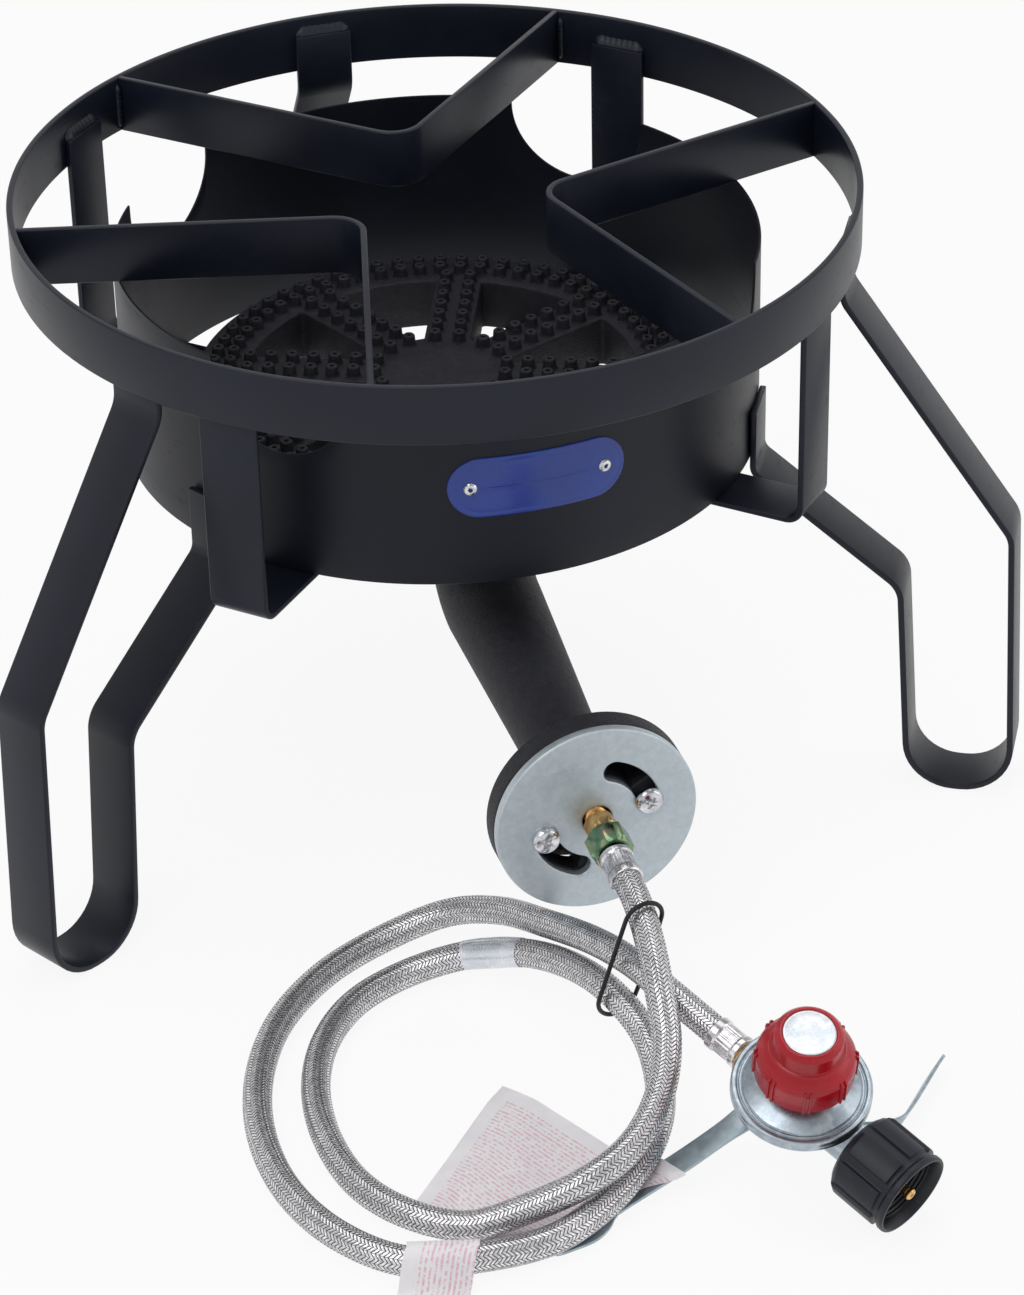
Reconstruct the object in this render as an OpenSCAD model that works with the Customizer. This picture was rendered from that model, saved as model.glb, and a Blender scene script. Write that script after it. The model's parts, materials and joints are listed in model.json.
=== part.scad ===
// Propane burner stand: a welded flat-bar stand that carries a cast-iron gas burner inside a
// windshield, with its air shutter, braided gas hose and adjustable pressure regulator.
// Units are millimetres. The origin is on the floor, on the axis of the pot ring. +Z is up and
// the air shutter faces -Y.

/* [Stand] */
// Height of the pot ring's top above the floor
stand_h = 320; // [290:1:360]
// Outer diameter of the pot ring
ring_d = 420; // [400:1:440]
// Width of the flat bar
bar_w = 30; // [26:1:34]
// Thickness of the flat bar
bar_t = 3.2; // [2.6:0.1:4]
// Distance from the axis to the rounded tip of each pot support
support_tip_r = 56; // [50:1:70]
// Inside bend radius at the tip of each pot support
support_bend_r = 14; // [8:1:20]
// Angle between each arm of a pot support and the line to the axis
support_arm_angle = 45; // [42:1:48]
// Distance from the axis to the middle of each foot
foot_r = 272; // [255:1:290]
// Width of each foot loop over its outer faces
foot_w = 54; // [44:1:64]
// Height of the outer bend of each leg
knee_h = 153; // [130:1:180]
// Height of the inner bend of each leg
inner_knee_h = 118; // [100:1:130]
// Height of the tab by which each leg holds the windshield
leg_tab_h = 34; // [20:1:45]
// Height of the top face of the burner straps above the floor
strap_h = 185; // [180:1:200]
// How far the burner straps stop below the top of the pot ring
strap_drop = 15; // [10:1:20]
// How far the legs stop below the top of the pot ring
leg_drop = 9.5; // [6:0.5:16]
// Height of the weld fillet on the end of each bar
weld_h = 5; // [3:0.5:6]

/* [Windshield] */
// Outer diameter of the windshield
shield_d = 321; // [300:1:330]
// Height of the windshield
shield_h = 105; // [95:1:115]
// Thickness of the windshield's sheet
shield_t = 1.2; // [0.8:0.1:2]
// Radius of the scallops in its top edge
scallop_r = 38; // [30:1:45]
// Length of the name plate
plate_w = 88; // [70:1:100]
// Height of the name plate
plate_h = 32; // [24:1:38]
// Thickness of the name plate
plate_t = 0.8; // [0.5:0.1:1.2]
// Distance between the name plate's rivets
plate_rivet_gap = 67; // [50:1:72]

/* [Burner] */
// Outer diameter of the cast burner
burner_d = 250; // [235:1:262]
// Height of the burner casting without its port studs
burner_h = 27; // [24:1:32]
// Wall of the castings
cast_wall = 4; // [3:0.5:4.5]
// Width of the burner's outer gas ring
gas_ring_w = 26; // [24:1:30]
// Number of spokes
spokes = 8; // [6:2:8]
// Width of each spoke
spoke_w = 24; // [22:1:26]
// Diameter of the hub
hub_d = 70; // [66:1:80]
// Diameter of a port stud
stud_d = 6.4; // [5:0.1:7]
// Height of a port stud
stud_h = 6; // [4:0.5:8]
// Diameter of the gas port in a stud
port_d = 2.4; // [1.6:0.1:3]
// Number of studs in each outer row
row_studs = 64; // [48:8:64]
// Number of studs in each row on a spoke
spoke_studs = 7; // [5:1:7]

/* [Venturi] */
// Distance from the axis to the front face of the air shutter
shutter_reach = 241; // [225:1:260]
// Height of the air shutter's centre above the floor
shutter_z = 95.5; // [88:0.5:105]
// Slope of the venturi tube
tube_slope = 9; // [6:0.5:12]
// Diameter of the venturi tube at its inner end
tube_d = 50; // [44:1:54]
// Diameter of the venturi tube at its flange
tube_neck_d = 37; // [34:1:42]
// Distance from the axis to the throat that rises into the burner
throat_y = 58; // [54:1:64]
// Diameter of the shutter and of the flange behind it
shutter_d = 100; // [94:1:106]
// Thickness of the flange
flange_t = 12; // [10:1:16]
// Thickness of the shutter
shutter_t = 5; // [4:0.5:6]
// Radius of the circle of the shutter's slots
slot_r = 26.5; // [25:0.5:30]
// Width of the slots
slot_w = 11; // [9:0.5:12]
// Angle from one end of a slot to the other
slot_arc = 58; // [50:1:62]
// Angle of the first shutter screw above the horizontal
screw_angle = 12; // [6:1:20]
// Diameter of the shutter screws' heads
screw_head_d = 14; // [12.5:0.5:16]
// Diameter of the shutter screws
screw_d = 6; // [5:0.5:6]

/* [Gas fittings] */
// Outer diameter of the braided hose
hose_d = 14; // [12:0.5:14]
// Hexagon of the brass orifice fitting, across its flats
orifice_af = 14; // [13:0.5:16]
// Hexagon of the flare nut, across its flats
flare_af = 19; // [18:0.5:21]
// Length of the crimped hose ferrules
ferrule_len = 18; // [15:1:22]
// Outer diameter of the crimped hose ferrules
ferrule_d = 16.4; // [15.5:0.1:18]

/* [Regulator] */
// Outer diameter of the regulator's crimped rim
reg_d = 64.5; // [61:0.5:68]
// Diameter of the knob's skirt
knob_d = 45.5; // [42:0.5:50]
// Height of the knob's skirt
knob_skirt_h = 19; // [16:1:22]
// Diameter of the knob's step
knob_step_d = 32; // [30:1:34]
// Height of the knob's step
knob_step_h = 11; // [8:1:14]
// Diameter of the coupling nut
nut_d = 43; // [40:1:46]
// Length of the coupling nut
nut_len = 33; // [30:1:38]
// Inside diameter of the coupling nut's thread
nut_bore_d = 34; // [31:0.5:35]

/* [Hidden] */
$fn = 64;
eps = 0.01;
chamfer = 0.5;
steps = 8;

// Angles of the stand's members around the axis
leg_angles = [90, 210, 330];
strap_angle = 225;
cross_angle = 135;

// Radii and levels shared by mating pieces
ring_r = ring_d / 2;
ring_in_r = ring_r - bar_t;
seat_r = sqrt(pow(ring_in_r, 2) - pow(bar_w / 2, 2));
mid_r = seat_r - bar_t / 2;
ring_z = stand_h - bar_w;
shield_r = shield_d / 2;
shield_top = strap_h + shield_h;
tab_r = shield_r + bar_t / 2;
plate_z = strap_h + shield_h / 2;
rivet_angle = plate_rivet_gap / shield_d * 180 / PI;

// A bar bent along a path: p holds [x, y] corners of its middle line, r the bend radius at each
function unit(v) = v / norm(v);
function bend(a, b, c, r) =
  let (u = unit(a - b), w = unit(c - b), half = acos(u * w) / 2, d = r / tan(half),
       o = b + unit(u + w) * r / sin(half), p = b + u * d, q = b + w * d,
       a0 = atan2(p[1] - o[1], p[0] - o[0]), a1 = atan2(q[1] - o[1], q[0] - o[0]),
       turn = (a1 - a0) > 180 ? a1 - a0 - 360 : (a1 - a0) < -180 ? a1 - a0 + 360 : a1 - a0)
  [for (i = [0:steps]) let (t = a0 + turn * i / steps)
    [o[0] + r * cos(t), o[1] + r * sin(t), (r + bar_t / 2) / r, (r - bar_t / 2) / r, o[0], o[1], sign(turn)]];

// The two faces of the bent bar, side by side, as one outline
function bend_side(s, k) = let (o = [s[4], s[5]], v = [s[0], s[1]] - o)
  o + v * (k * s[6] < 0 ? s[2] : s[3]);
function bar_face(p, r, k) =
  let (n = len(p), u0 = unit(p[1] - p[0]), u1 = unit(p[n - 1] - p[n - 2]),
       inner = [for (i = [1:n - 2]) for (s = bend(p[i - 1], p[i], p[i + 1], r[i])) bend_side(s, k)])
  concat([p[0] + k * bar_t / 2 * [-u0[1], u0[0]]], inner,
         [p[n - 1] + k * bar_t / 2 * [-u1[1], u1[0]]]);
function reversed(v) = [for (i = [len(v) - 1:-1:0]) v[i]];

module bent_bar(p, r) {
  translate([0, bar_w / 2, 0]) rotate([90, 0, 0]) linear_extrude(bar_w)
    polygon(concat(bar_face(p, r, 1), reversed(bar_face(p, r, -1))));
}

// A flat ring or tube with chamfered edges
module hoop(r_out, r_in, h, c = chamfer) {
  rotate_extrude($fn = 180)
    polygon([[r_in + c, 0], [r_out - c, 0], [r_out, c], [r_out, h - c], [r_out - c, h],
             [r_in + c, h], [r_in, h - c], [r_in, c]]);
}

// ---- Stand ----

module pot_ring() {
  color([0.06, 0.065, 0.08]) translate([0, 0, ring_z]) hoop(ring_r, ring_in_r, bar_w);
}

// The tip's middle line starts from the sharp corner that its bend rounds off
support_mid_bend = support_bend_r + bar_t / 2;
support_corner_r = support_tip_r + bar_t / 2 - support_mid_bend * (1 / sin(support_arm_angle) - 1);
support_reach = ring_r;

function support_path() =
  let (dx = support_reach * cos(support_arm_angle), dy = support_reach * sin(support_arm_angle),
       c = [support_corner_r, 0])
  [c + [dx, dy], c, c + [dx, -dy]];

module support_bar() {
  p = support_path();
  r = [0, support_mid_bend, 0];
  linear_extrude(bar_w) polygon(concat(bar_face(p, r, 1), reversed(bar_face(p, r, -1))));
}

module pot_support(angle) {
  color([0.07, 0.075, 0.09]) translate([0, 0, ring_z]) intersection() {
    rotate([0, 0, angle]) support_bar();
    cylinder(r = ring_in_r, h = bar_w, $fn = 180);
  }
}

leg_top = stand_h - leg_drop;
leg_shoulder = ring_z - 11;
leg_mid = foot_w - bar_t;
leg_bend = 16;
foot_bend = leg_mid / 2 - 0.4;
leg_path = [
  [mid_r, leg_top], [mid_r, leg_shoulder], [foot_r + 20.5, knee_h],
  [foot_r + leg_mid / 2 + 0.8, bar_t / 2], [foot_r - leg_mid / 2 - 1.6, bar_t / 2],
  [foot_r - 34, inner_knee_h], [tab_r, strap_h - 7], [tab_r, strap_h - 7 + leg_tab_h]
];
leg_bends = [0, leg_bend, leg_bend, foot_bend, foot_bend, leg_bend, leg_bend / 2, 0];

module leg(angle) {
  color([0.06, 0.065, 0.08]) rotate([0, 0, angle]) bent_bar(leg_path, leg_bends);
}

strap_top = stand_h - strap_drop;
strap_mid_z = strap_h - bar_t / 2;
strap_bend = 8;
bolt_hole_r = 5.2;

module strap_hole() {
  translate([0, 0, strap_h - bar_t - 1]) cylinder(r = bolt_hole_r, h = bar_t + 2);
}

module burner_strap() {
  color([0.06, 0.065, 0.08]) difference() {
    rotate([0, 0, strap_angle])
      bent_bar([[-mid_r, strap_top], [-mid_r, strap_mid_z], [mid_r, strap_mid_z], [mid_r, strap_top]],
               [0, strap_bend, strap_bend, 0]);
    strap_hole();
  }
}

module cross_strap(angle) {
  color([0.06, 0.065, 0.08]) rotate([0, 0, angle])
    bent_bar([[bar_w / 2, strap_mid_z], [mid_r, strap_mid_z], [mid_r, strap_top]],
             [0, strap_bend, 0]);
}

// A fillet of weld on the end of a bar, and one down the corner of a pot support
module end_weld(angle, z) {
  rotate([0, 0, angle]) translate([seat_r, bar_w / 2, z]) rotate([90, 0, 0])
    linear_extrude(bar_w) polygon([[0, 0], [0, weld_h], [-bar_t, 0]]);
}

module corner_weld(angle, side) {
  p = support_path();
  u = unit(p[0] - p[1]);
  // Where the arm's middle line meets the ring
  along = -p[1] * u + sqrt(pow(p[1] * u, 2) - p[1] * p[1] + pow(ring_in_r, 2));
  c = p[1] + u * along;
  bead = 3;
  difference() {
    intersection() {
      rotate([0, 0, angle]) translate([c[0] - 2.5, side * (c[1] + 2.2), ring_z + 3])
        cylinder(r = bead, h = bar_w - 6, $fn = 24);
      cylinder(r = ring_in_r, h = stand_h, $fn = 180);
    }
    translate([0, 0, ring_z]) rotate([0, 0, angle]) support_bar();
  }
}

module weld_beads() {
  color([0.09, 0.095, 0.11]) {
    for (a = leg_angles) end_weld(a, leg_top);
    for (a = [0:90:270]) end_weld(strap_angle + a, strap_top);
    for (a = leg_angles) for (side = [-1, 1]) corner_weld(a, side);
  }
}

// ---- Windshield ----

scallop_z = shield_top - 3;
rivet_r = 1.6;
rivet_head_r = 3.4;
rivet_clear = 0.05;

module across(r, h) {
  rotate([90, 0, 0]) cylinder(r = r, h = h, $fn = 96);
}

module windshield() {
  color([0.055, 0.06, 0.075]) difference() {
    translate([0, 0, strap_h]) difference() {
      cylinder(r = shield_r, h = shield_h, $fn = 180);
      translate([0, 0, -1]) cylinder(r = shield_r - shield_t, h = shield_h + 2, $fn = 180);
    }
    for (a = [0:90:270]) translate([0, 0, scallop_z]) rotate([0, 0, strap_angle + 90 + a])
      across(scallop_r, ring_r);
    for (side = [-1, 1]) rotate([0, 0, side * rivet_angle]) translate([0, 0, plate_z])
      across(rivet_r + rivet_clear, ring_r);
  }
}

module name_plate() {
  end_r = plate_h / 2;
  color([0.05, 0.16, 0.5]) difference() {
    intersection() {
      difference() {
        cylinder(r = shield_r + plate_t, h = stand_h, $fn = 180);
        translate([0, 0, -1]) cylinder(r = shield_r, h = stand_h + 2, $fn = 180);
      }
      translate([0, 0, plate_z]) rotate([90, 0, 0]) linear_extrude(ring_r) union() {
        square([plate_w - plate_h, plate_h], center = true);
        for (side = [-1, 1]) translate([side * (plate_w / 2 - end_r), 0]) circle(r = end_r);
      }
    }
    for (side = [-1, 1]) rotate([0, 0, side * rivet_angle]) translate([0, 0, plate_z])
      across(rivet_r + rivet_clear, ring_r);
  }
}

// A rivet from the plate's face through to the inside of the windshield, along -Y
module plate_rivet() {
  face = shield_r + plate_t;
  grip = plate_t + shield_t;
  rotate([90, 0, 0]) rotate_extrude($fn = 48)
    polygon(concat([[0, face - grip - 1.2], [rivet_r + 1, face - grip - 1.2],
                    [rivet_r + 1, face - grip], [rivet_r, face - grip], [rivet_r, face],
                    [rivet_head_r, face]],
                   [for (t = [15:15:90]) [rivet_head_r * cos(t), face + 1.5 * sin(t)]]));
}

module plate_rivets() {
  color([0.75, 0.76, 0.78]) for (side = [-1, 1])
    rotate([0, 0, side * rivet_angle]) translate([0, 0, plate_z]) plate_rivet();
}

// ---- Burner ----

burner_r = burner_d / 2;
hub_r = hub_d / 2;
burner_z = strap_h;
deck_z = burner_z + burner_h;
outer_row_r = burner_r - 9.5;
inner_row_r = outer_row_r - 8.2;
row_gap = 12.4;
spoke_row_start = hub_r - 2;
spoke_row_end = inner_row_r - 9.5;
spoke_turn = 180 / spokes;
throat_r = tube_d / 2 - cast_wall;
burner_bolt_r = 5;

function spoke_angle(i) = -90 + spoke_turn + i * 360 / spokes;
function row_at(i, n, a, b) = a + (b - a) * i / (n - 1);
function port_places() = concat(
  [for (r = [outer_row_r, inner_row_r]) for (i = [0:row_studs - 1])
    let (a = i * 360 / row_studs) [r * cos(a), r * sin(a)]],
  [for (s = [0:spokes - 1]) for (side = [-1, 1]) for (i = [0:spoke_studs - 1])
    let (a = spoke_angle(s), d = row_at(i, spoke_studs, spoke_row_start, spoke_row_end),
         e = side * row_gap / 2)
    [d * cos(a) - e * sin(a), d * sin(a) + e * cos(a)]]);

// The burner's plan, drawn in by a wall for the gas passage
module burner_plan(wall = 0) {
  difference() {
    circle(r = burner_r - wall, $fn = 180);
    circle(r = burner_r - gas_ring_w + wall, $fn = 128);
  }
  for (i = [0:spokes - 1]) rotate([0, 0, spoke_angle(i)]) translate([0, -spoke_w / 2 + wall])
    square([burner_r - gas_ring_w / 2, spoke_w - 2 * wall]);
  circle(r = hub_r - wall);
}

// ---- Places along the venturi ----

// on_slope stands on the tube's axis, s beyond the shutter's face, with +Z pointing outwards
slope_c = cos(tube_slope);
slope_s = sin(tube_slope);
tube_end_r = tube_d / 2;
tube_neck_r = tube_neck_d / 2;
bore_end_r = tube_end_r - cast_wall;
bore_neck_r = tube_neck_r - cast_wall;
bolt_r = 4;
washer_t = 1.6;
shutter_gap = 0.05;
shutter_r = shutter_d / 2;
flange_gap = 0.05;
flange_face = shutter_reach - shutter_t - flange_gap;
flange_wall = 4;
elbow_bend = 30;
elbow_z = shutter_z + (shutter_reach - throat_y) * slope_s / slope_c;
elbow_back = elbow_bend * (1 - slope_s) / slope_c;
tube_len = (shutter_reach - throat_y) / slope_c - elbow_back;
neck_at = 36;
cone_r = 35;
window_start = screw_angle + 26;
window_end = screw_angle + slot_arc - 4;
spud_r = 6;
spud_clear = 1.2;
thread_fit = 0.05;
boss_r = 10;
boss_reach = 16;

module on_slope(s = 0) {
  translate([0, -shutter_reach - s * slope_c, shutter_z - s * slope_s])
    rotate([90 + tube_slope, 0, 0]) children();
}

module facing(y) {
  translate([0, -y, shutter_z]) rotate([90, 0, 0]) children();
}

module arc_slot(r, w, a0, a1) {
  far = shutter_d;
  mid = (a0 + a1) / 2;
  intersection() {
    difference() {
      circle(r = r + w / 2);
      circle(r = r - w / 2);
    }
    polygon([[0, 0], [far * cos(a0), far * sin(a0)], [far * cos(mid), far * sin(mid)],
             [far * cos(a1), far * sin(a1)]]);
  }
}

module slot_shape(r, w, a0, a1) {
  for (a = [a0, a1]) translate([r * cos(a), r * sin(a)]) circle(r = w / 2, $fn = 32);
  arc_slot(r, w, a0, a1);
}

// Tube, elbow and riser, drawn outside or inside by their radii; the elbow is a little slimmer,
// so that the straight runs end in a step on it
elbow_step = 0.4;
run_on = 1;
module tube_run(r_neck, r_end, rise, past = 0) {
  on_slope(-tube_len - run_on) cylinder(r1 = r_end, r2 = r_neck, h = tube_len + run_on - neck_at + past);
  translate([0, -throat_y - elbow_bend, elbow_z + elbow_back]) rotate([90, 0, 90])
    rotate([0, 0, tube_slope - 90]) rotate_extrude(angle = 90 - tube_slope)
      translate([elbow_bend, 0]) circle(r = r_end - elbow_step);
  translate([0, -throat_y, elbow_z + elbow_back - run_on]) rotate([0, 0, 90])
    cylinder(r = r_end, h = rise - elbow_z - elbow_back + run_on);
}

// ---- Burner ----

module floor_plan(wall = 0) {
  burner_plan(wall);
  translate([0, -throat_y]) circle(r = tube_end_r + 4 - wall);
}

module burner_head() {
  difference() {
    union() {
      translate([0, 0, burner_z]) linear_extrude(cast_wall) floor_plan();
      translate([0, 0, burner_z + cast_wall]) linear_extrude(burner_h - 2 * cast_wall)
        difference() {
          floor_plan();
          floor_plan(cast_wall);
        }
      translate([0, 0, deck_z - cast_wall]) linear_extrude(cast_wall) difference() {
        floor_plan();
        for (p = port_places()) translate(p) circle(r = port_d / 2, $fn = 16);
      }
      translate([0, 0, burner_z]) cylinder(r = burner_bolt_r + cast_wall, h = burner_h);
    }
    translate([0, 0, burner_z - 1]) cylinder(r = bolt_r + thread_fit, h = burner_h - cast_wall + 1);
    translate([0, -throat_y, burner_z - 1]) cylinder(r = bore_end_r, h = cast_wall + 2);
  }
  translate([0, 0, deck_z]) linear_extrude(stud_h) for (p = port_places()) translate(p)
    difference() {
      circle(r = stud_d / 2, $fn = 16);
      circle(r = port_d / 2, $fn = 16);
    }
}

module venturi() {
  front = flange_face;
  difference() {
    union() {
      tube_run(tube_neck_r, tube_end_r, burner_z);
      facing(front - flange_t) cylinder(r = shutter_r, h = flange_t);
      on_slope(-neck_at) cylinder(r1 = tube_neck_r, r2 = cone_r + 4, h = neck_at - 18);
    }
    tube_run(bore_neck_r, bore_end_r, burner_z + 1, 3);
    intersection() {
      on_slope(-neck_at) cylinder(r1 = bore_neck_r - 0.4, r2 = cone_r + 14, h = neck_at);
      facing(front - flange_wall - 60) cylinder(r = cone_r, h = 60);
    }
    for (turn = [0, 180]) facing(front - flange_wall - 1) linear_extrude(flange_wall + 2)
      arc_slot(slot_r, slot_w - 1, turn + window_start - 8, turn + window_end + 8);
    for (turn = [0, 180]) facing(front - flange_wall - 1) rotate([0, 0, screw_angle + turn])
      translate([slot_r, 0, 0]) cylinder(r = screw_d / 2 + thread_fit, h = flange_wall + 2);
  }
}

module spud_boss() {
  intersection() {
    on_slope(-shutter_t - boss_reach) cylinder(r = boss_r, h = boss_reach + 8);
    facing(flange_face - 30) cylinder(r = cone_r - 5, h = 30);
  }
}

module burner_casting() {
  color([0.09, 0.09, 0.1]) difference() {
    union() {
      burner_head();
      venturi();
      spud_boss();
    }
    on_slope(-shutter_t - boss_reach - 1) cylinder(r = spud_r + thread_fit, h = boss_reach + 12);
  }
}

module burner_bolt() {
  head_h = 6;
  under = strap_h - bar_t - washer_t;
  color([0.7, 0.71, 0.74]) {
    translate([0, 0, under - head_h]) cylinder(r = 7.5, h = head_h, $fn = 6);
    translate([0, 0, under]) cylinder(r = bolt_r, h = washer_t + bar_t + 16);
  }
}

module burner_washer() {
  color([0.72, 0.73, 0.75]) translate([0, 0, strap_h - bar_t - washer_t]) difference() {
    cylinder(r = 10, h = washer_t);
    translate([0, 0, -1]) cylinder(r = bolt_r + 0.4, h = washer_t + 2);
  }
}

// ---- Air shutter ----

module air_shutter() {
  edge = 1.8;
  color([0.6, 0.65, 0.72]) facing(shutter_reach - shutter_t) difference() {
    rotate_extrude($fn = 128) polygon(concat(
      [[0, 0], [shutter_r - 0.6, 0], [shutter_r, 0.6]],
      [for (t = [0:22.5:90]) [shutter_r - edge + edge * cos(t), shutter_t - edge + edge * sin(t)]],
      [[0, shutter_t]]));
    translate([0, 0, -1]) cylinder(r = spud_r + spud_clear, h = shutter_t + 2);
    for (turn = [0, 180]) translate([0, 0, -1]) linear_extrude(shutter_t + 2)
      slot_shape(slot_r, slot_w, turn + screw_angle, turn + screw_angle + slot_arc);
  }
}

module pan_screw() {
  head_r = screw_head_d / 2;
  head_h = 4.2;
  difference() {
    rotate_extrude() polygon(concat(
      [[0, 0], [screw_d / 2, 0], [screw_d / 2, 14], [head_r, 14]],
      [for (t = [0:15:90]) [head_r - 3 + 3 * cos(t), 14 + head_h - 3 + 3 * sin(t)]],
      [[0, 14 + head_h]]));
    for (a = [0, 90]) rotate([0, 0, a]) translate([-2.8, -0.5, 14 + head_h - 1.6])
      cube([5.6, 1, 3]);
  }
}

module shutter_screws() {
  color([0.8, 0.81, 0.83]) for (turn = [0, 180]) facing(shutter_reach - 14 + shutter_gap)
    rotate([0, 0, screw_angle + turn]) translate([slot_r, 0, 0]) pan_screw();
}

// ---- Gas fittings ----

hex_at = 1.8;
hex_h = 8;
flare_start = hex_at + hex_h + 2;
flare_len = 13;
ferrule_start = flare_start + flare_len + 0.6;
hose_start = ferrule_start + ferrule_len;
flare_thread_r = 5.4;
stem_r = 3.6;
hose_r = hose_d / 2;
ferrule_r = ferrule_d / 2;

module hexagon(af, h) {
  cylinder(r = af / 2 / cos(30), h = h, $fn = 6);
}

module orifice_fitting() {
  color([0.78, 0.62, 0.3]) on_slope() difference() {
    union() {
      translate([0, 0, -shutter_t - boss_reach + 2]) cylinder(r = spud_r, h = boss_reach + shutter_t + hex_at - 2);
      translate([0, 0, hex_at]) hexagon(orifice_af, hex_h);
      translate([0, 0, hex_at + hex_h]) cylinder(r = flare_thread_r, h = 8);
    }
    translate([0, 0, -shutter_t - boss_reach + 1]) cylinder(r = 0.7, h = 5);
    translate([0, 0, -shutter_t - boss_reach + 4]) cylinder(r = 2.5, h = 60);
  }
}

module flare_nut() {
  color([0.66, 0.66, 0.42]) on_slope(flare_start) difference() {
    hexagon(flare_af, flare_len);
    translate([0, 0, -1]) cylinder(r = flare_thread_r + thread_fit, h = flare_len - 4 + 1);
    translate([0, 0, -1]) cylinder(r = stem_r + thread_fit, h = flare_len + 2);
  }
}

// A crimped ferrule with the stem it grips, from z = 0 at the stem's flare to the hose's end
module ferrule(stem) {
  difference() {
    union() {
      cylinder(r = stem_r + 1.4, h = 1.2);
      cylinder(r = stem_r, h = stem + 1);
      translate([0, 0, stem]) rotate_extrude() polygon([
        [0, 0], [ferrule_r - 1, 0], [ferrule_r, 1], [ferrule_r, 3.5], [ferrule_r - 0.7, 4.2],
        [ferrule_r - 0.7, ferrule_len - 4.2], [ferrule_r, ferrule_len - 3.5],
        [ferrule_r, ferrule_len - 0.4], [ferrule_r - 0.4, ferrule_len], [0, ferrule_len]]);
    }
    translate([0, 0, -1]) cylinder(r = 2.4, h = stem + ferrule_len - 2);
  }
}

module burner_ferrule() {
  stem = 6;
  color([0.75, 0.75, 0.74]) on_slope(ferrule_start - stem) ferrule(stem);
}

// ---- Gas hose ----

// The hose's middle line after its burner ferrule, as laid out on the floor, and the strand height
floor_z = hose_r + 0.6;
hose_out = [0, -slope_c, -slope_s];
hose_from = [0, -shutter_reach, shutter_z] + hose_start * hose_out;
hose_route = [
  [-1.5, -318, 80.5], [-5, -342, 70], [-9, -364, 54.1], [-20, -383.9, 41.3], [-38.2, -400.7, 31.8],
  [-62.6, -410.4, 25.3], [-90.6, -408.4, 15.3], [-117.1, -403.3, 8.4], [-140, -386, 7.9],
  [-155.1, -359, floor_z], [-160, -325, floor_z], [-156, -289, floor_z], [-142.9, -256, floor_z],
  [-121, -230, floor_z], [-92, -217, 9], [-62, -222, 17], [-39, -243, 27.9], [-24, -272, 37],
  [-14, -302, 39.9], [-6.9, -331, 32.9], [-9.9, -358.1, 21.8], [-23.9, -386.1, 18.9],
  [-47.8, -407.2, 12.2], [-81.3, -425.1, 9.8], [-116.9, -426.5, 9.4], [-150.1, -416.1, floor_z],
  [-174, -389, floor_z], [-187, -351.9, floor_z], [-188, -310, floor_z], [-178, -268.9, floor_z],
  [-158.1, -231.9, floor_z], [-129.1, -203.2, floor_z], [-96, -188, 10], [-62, -190, 20],
  [-41, -212, 32], [-27, -245, 43.6], [-15, -279, 54.5], [-6, -307, 59.5]
];
// Where the hose meets the regulator: its length to the nut's mouth, and its turn is set by the tilt at which the nut rests
reg_len = 88.8 + nut_len;
reg_turn = [10.5, 14.5, 298];
reg_at = [16.5, -359, nut_d / 2 * cos(reg_turn[1]) + reg_len * sin(reg_turn[1])];
hose_in = [cos(reg_turn[1]) * cos(reg_turn[2]), cos(reg_turn[1]) * sin(reg_turn[2]), -sin(reg_turn[1])];
hose_knots = concat([hose_from - 16 * hose_out, hose_from, hose_from + hose_d * hose_out], hose_route,
  [reg_at - 31 * hose_in, reg_at - hose_d * hose_in, reg_at, reg_at + 16 * hose_in]);
hose_sides = 10;
hose_parts = 2;

function along_knots(p, i, t) = 0.5 * ((2 * p[i]) + (p[i + 1] - p[i - 1]) * t
  + (2 * p[i - 1] - 5 * p[i] + 4 * p[i + 1] - p[i + 2]) * t * t
  + (3 * p[i] - p[i - 1] - 3 * p[i + 1] + p[i + 2]) * t * t * t);
function smooth_line(p, parts) = concat(
  [for (i = [1:len(p) - 3]) for (k = [0:parts - 1]) along_knots(p, i, k / parts)], [p[len(p) - 2]]);
// Each ring's normal is carried from the one before it, so that the tube doesn't twist
function tangents(p) = [for (i = [0:len(p) - 1])
  unit(p[min(i + 1, len(p) - 1)] - p[max(i - 1, 0)])];
function carried(t, i, n) = i >= len(t) ? [] :
  let (m = unit(n - (n * t[i]) * t[i])) concat([m], carried(t, i + 1, m));
module swept_tube(p, r, sides, n0, t0, t1) {
  mid = tangents(p);
  t = concat([t0], [for (i = [1:len(p) - 2]) mid[i]], [t1]);
  n = carried(t, 0, n0);
  q = [for (i = [0:len(p) - 1]) let (b = cross(t[i], n[i])) for (k = [0:sides - 1])
    p[i] + r * (cos(360 * k / sides) * n[i] + sin(360 * k / sides) * b)];
  last = (len(p) - 1) * sides;
  polyhedron(q, concat(
    [[for (k = [0:sides - 1]) k]],
    [for (i = [0:len(p) - 2]) for (k = [0:sides - 1]) let (j = (k + 1) % sides)
      [i * sides + k, (i + 1) * sides + k, (i + 1) * sides + j]],
    [for (i = [0:len(p) - 2]) for (k = [0:sides - 1]) let (j = (k + 1) % sides)
      [i * sides + k, (i + 1) * sides + j, i * sides + j]],
    [[for (k = [sides - 1:-1:0]) last + k]]), convexity = 10);
}

hose_line = smooth_line(hose_knots, hose_parts);
// The root of each step, so that the square of their norm is the sum of the steps
function line_len(p) = norm([for (i = [1:len(p) - 1]) sqrt(norm(p[i] - p[i - 1]))]) ^ 2;
hose_gap = min([for (i = [0:len(hose_line) - 1]) for (j = [i + 6:1:len(hose_line) - 1])
  norm(hose_line[i] - hose_line[j])]) - hose_d;
echo(hose_length = line_len(hose_line), hose_rings = len(hose_line), hose_self_gap = hose_gap);

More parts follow.
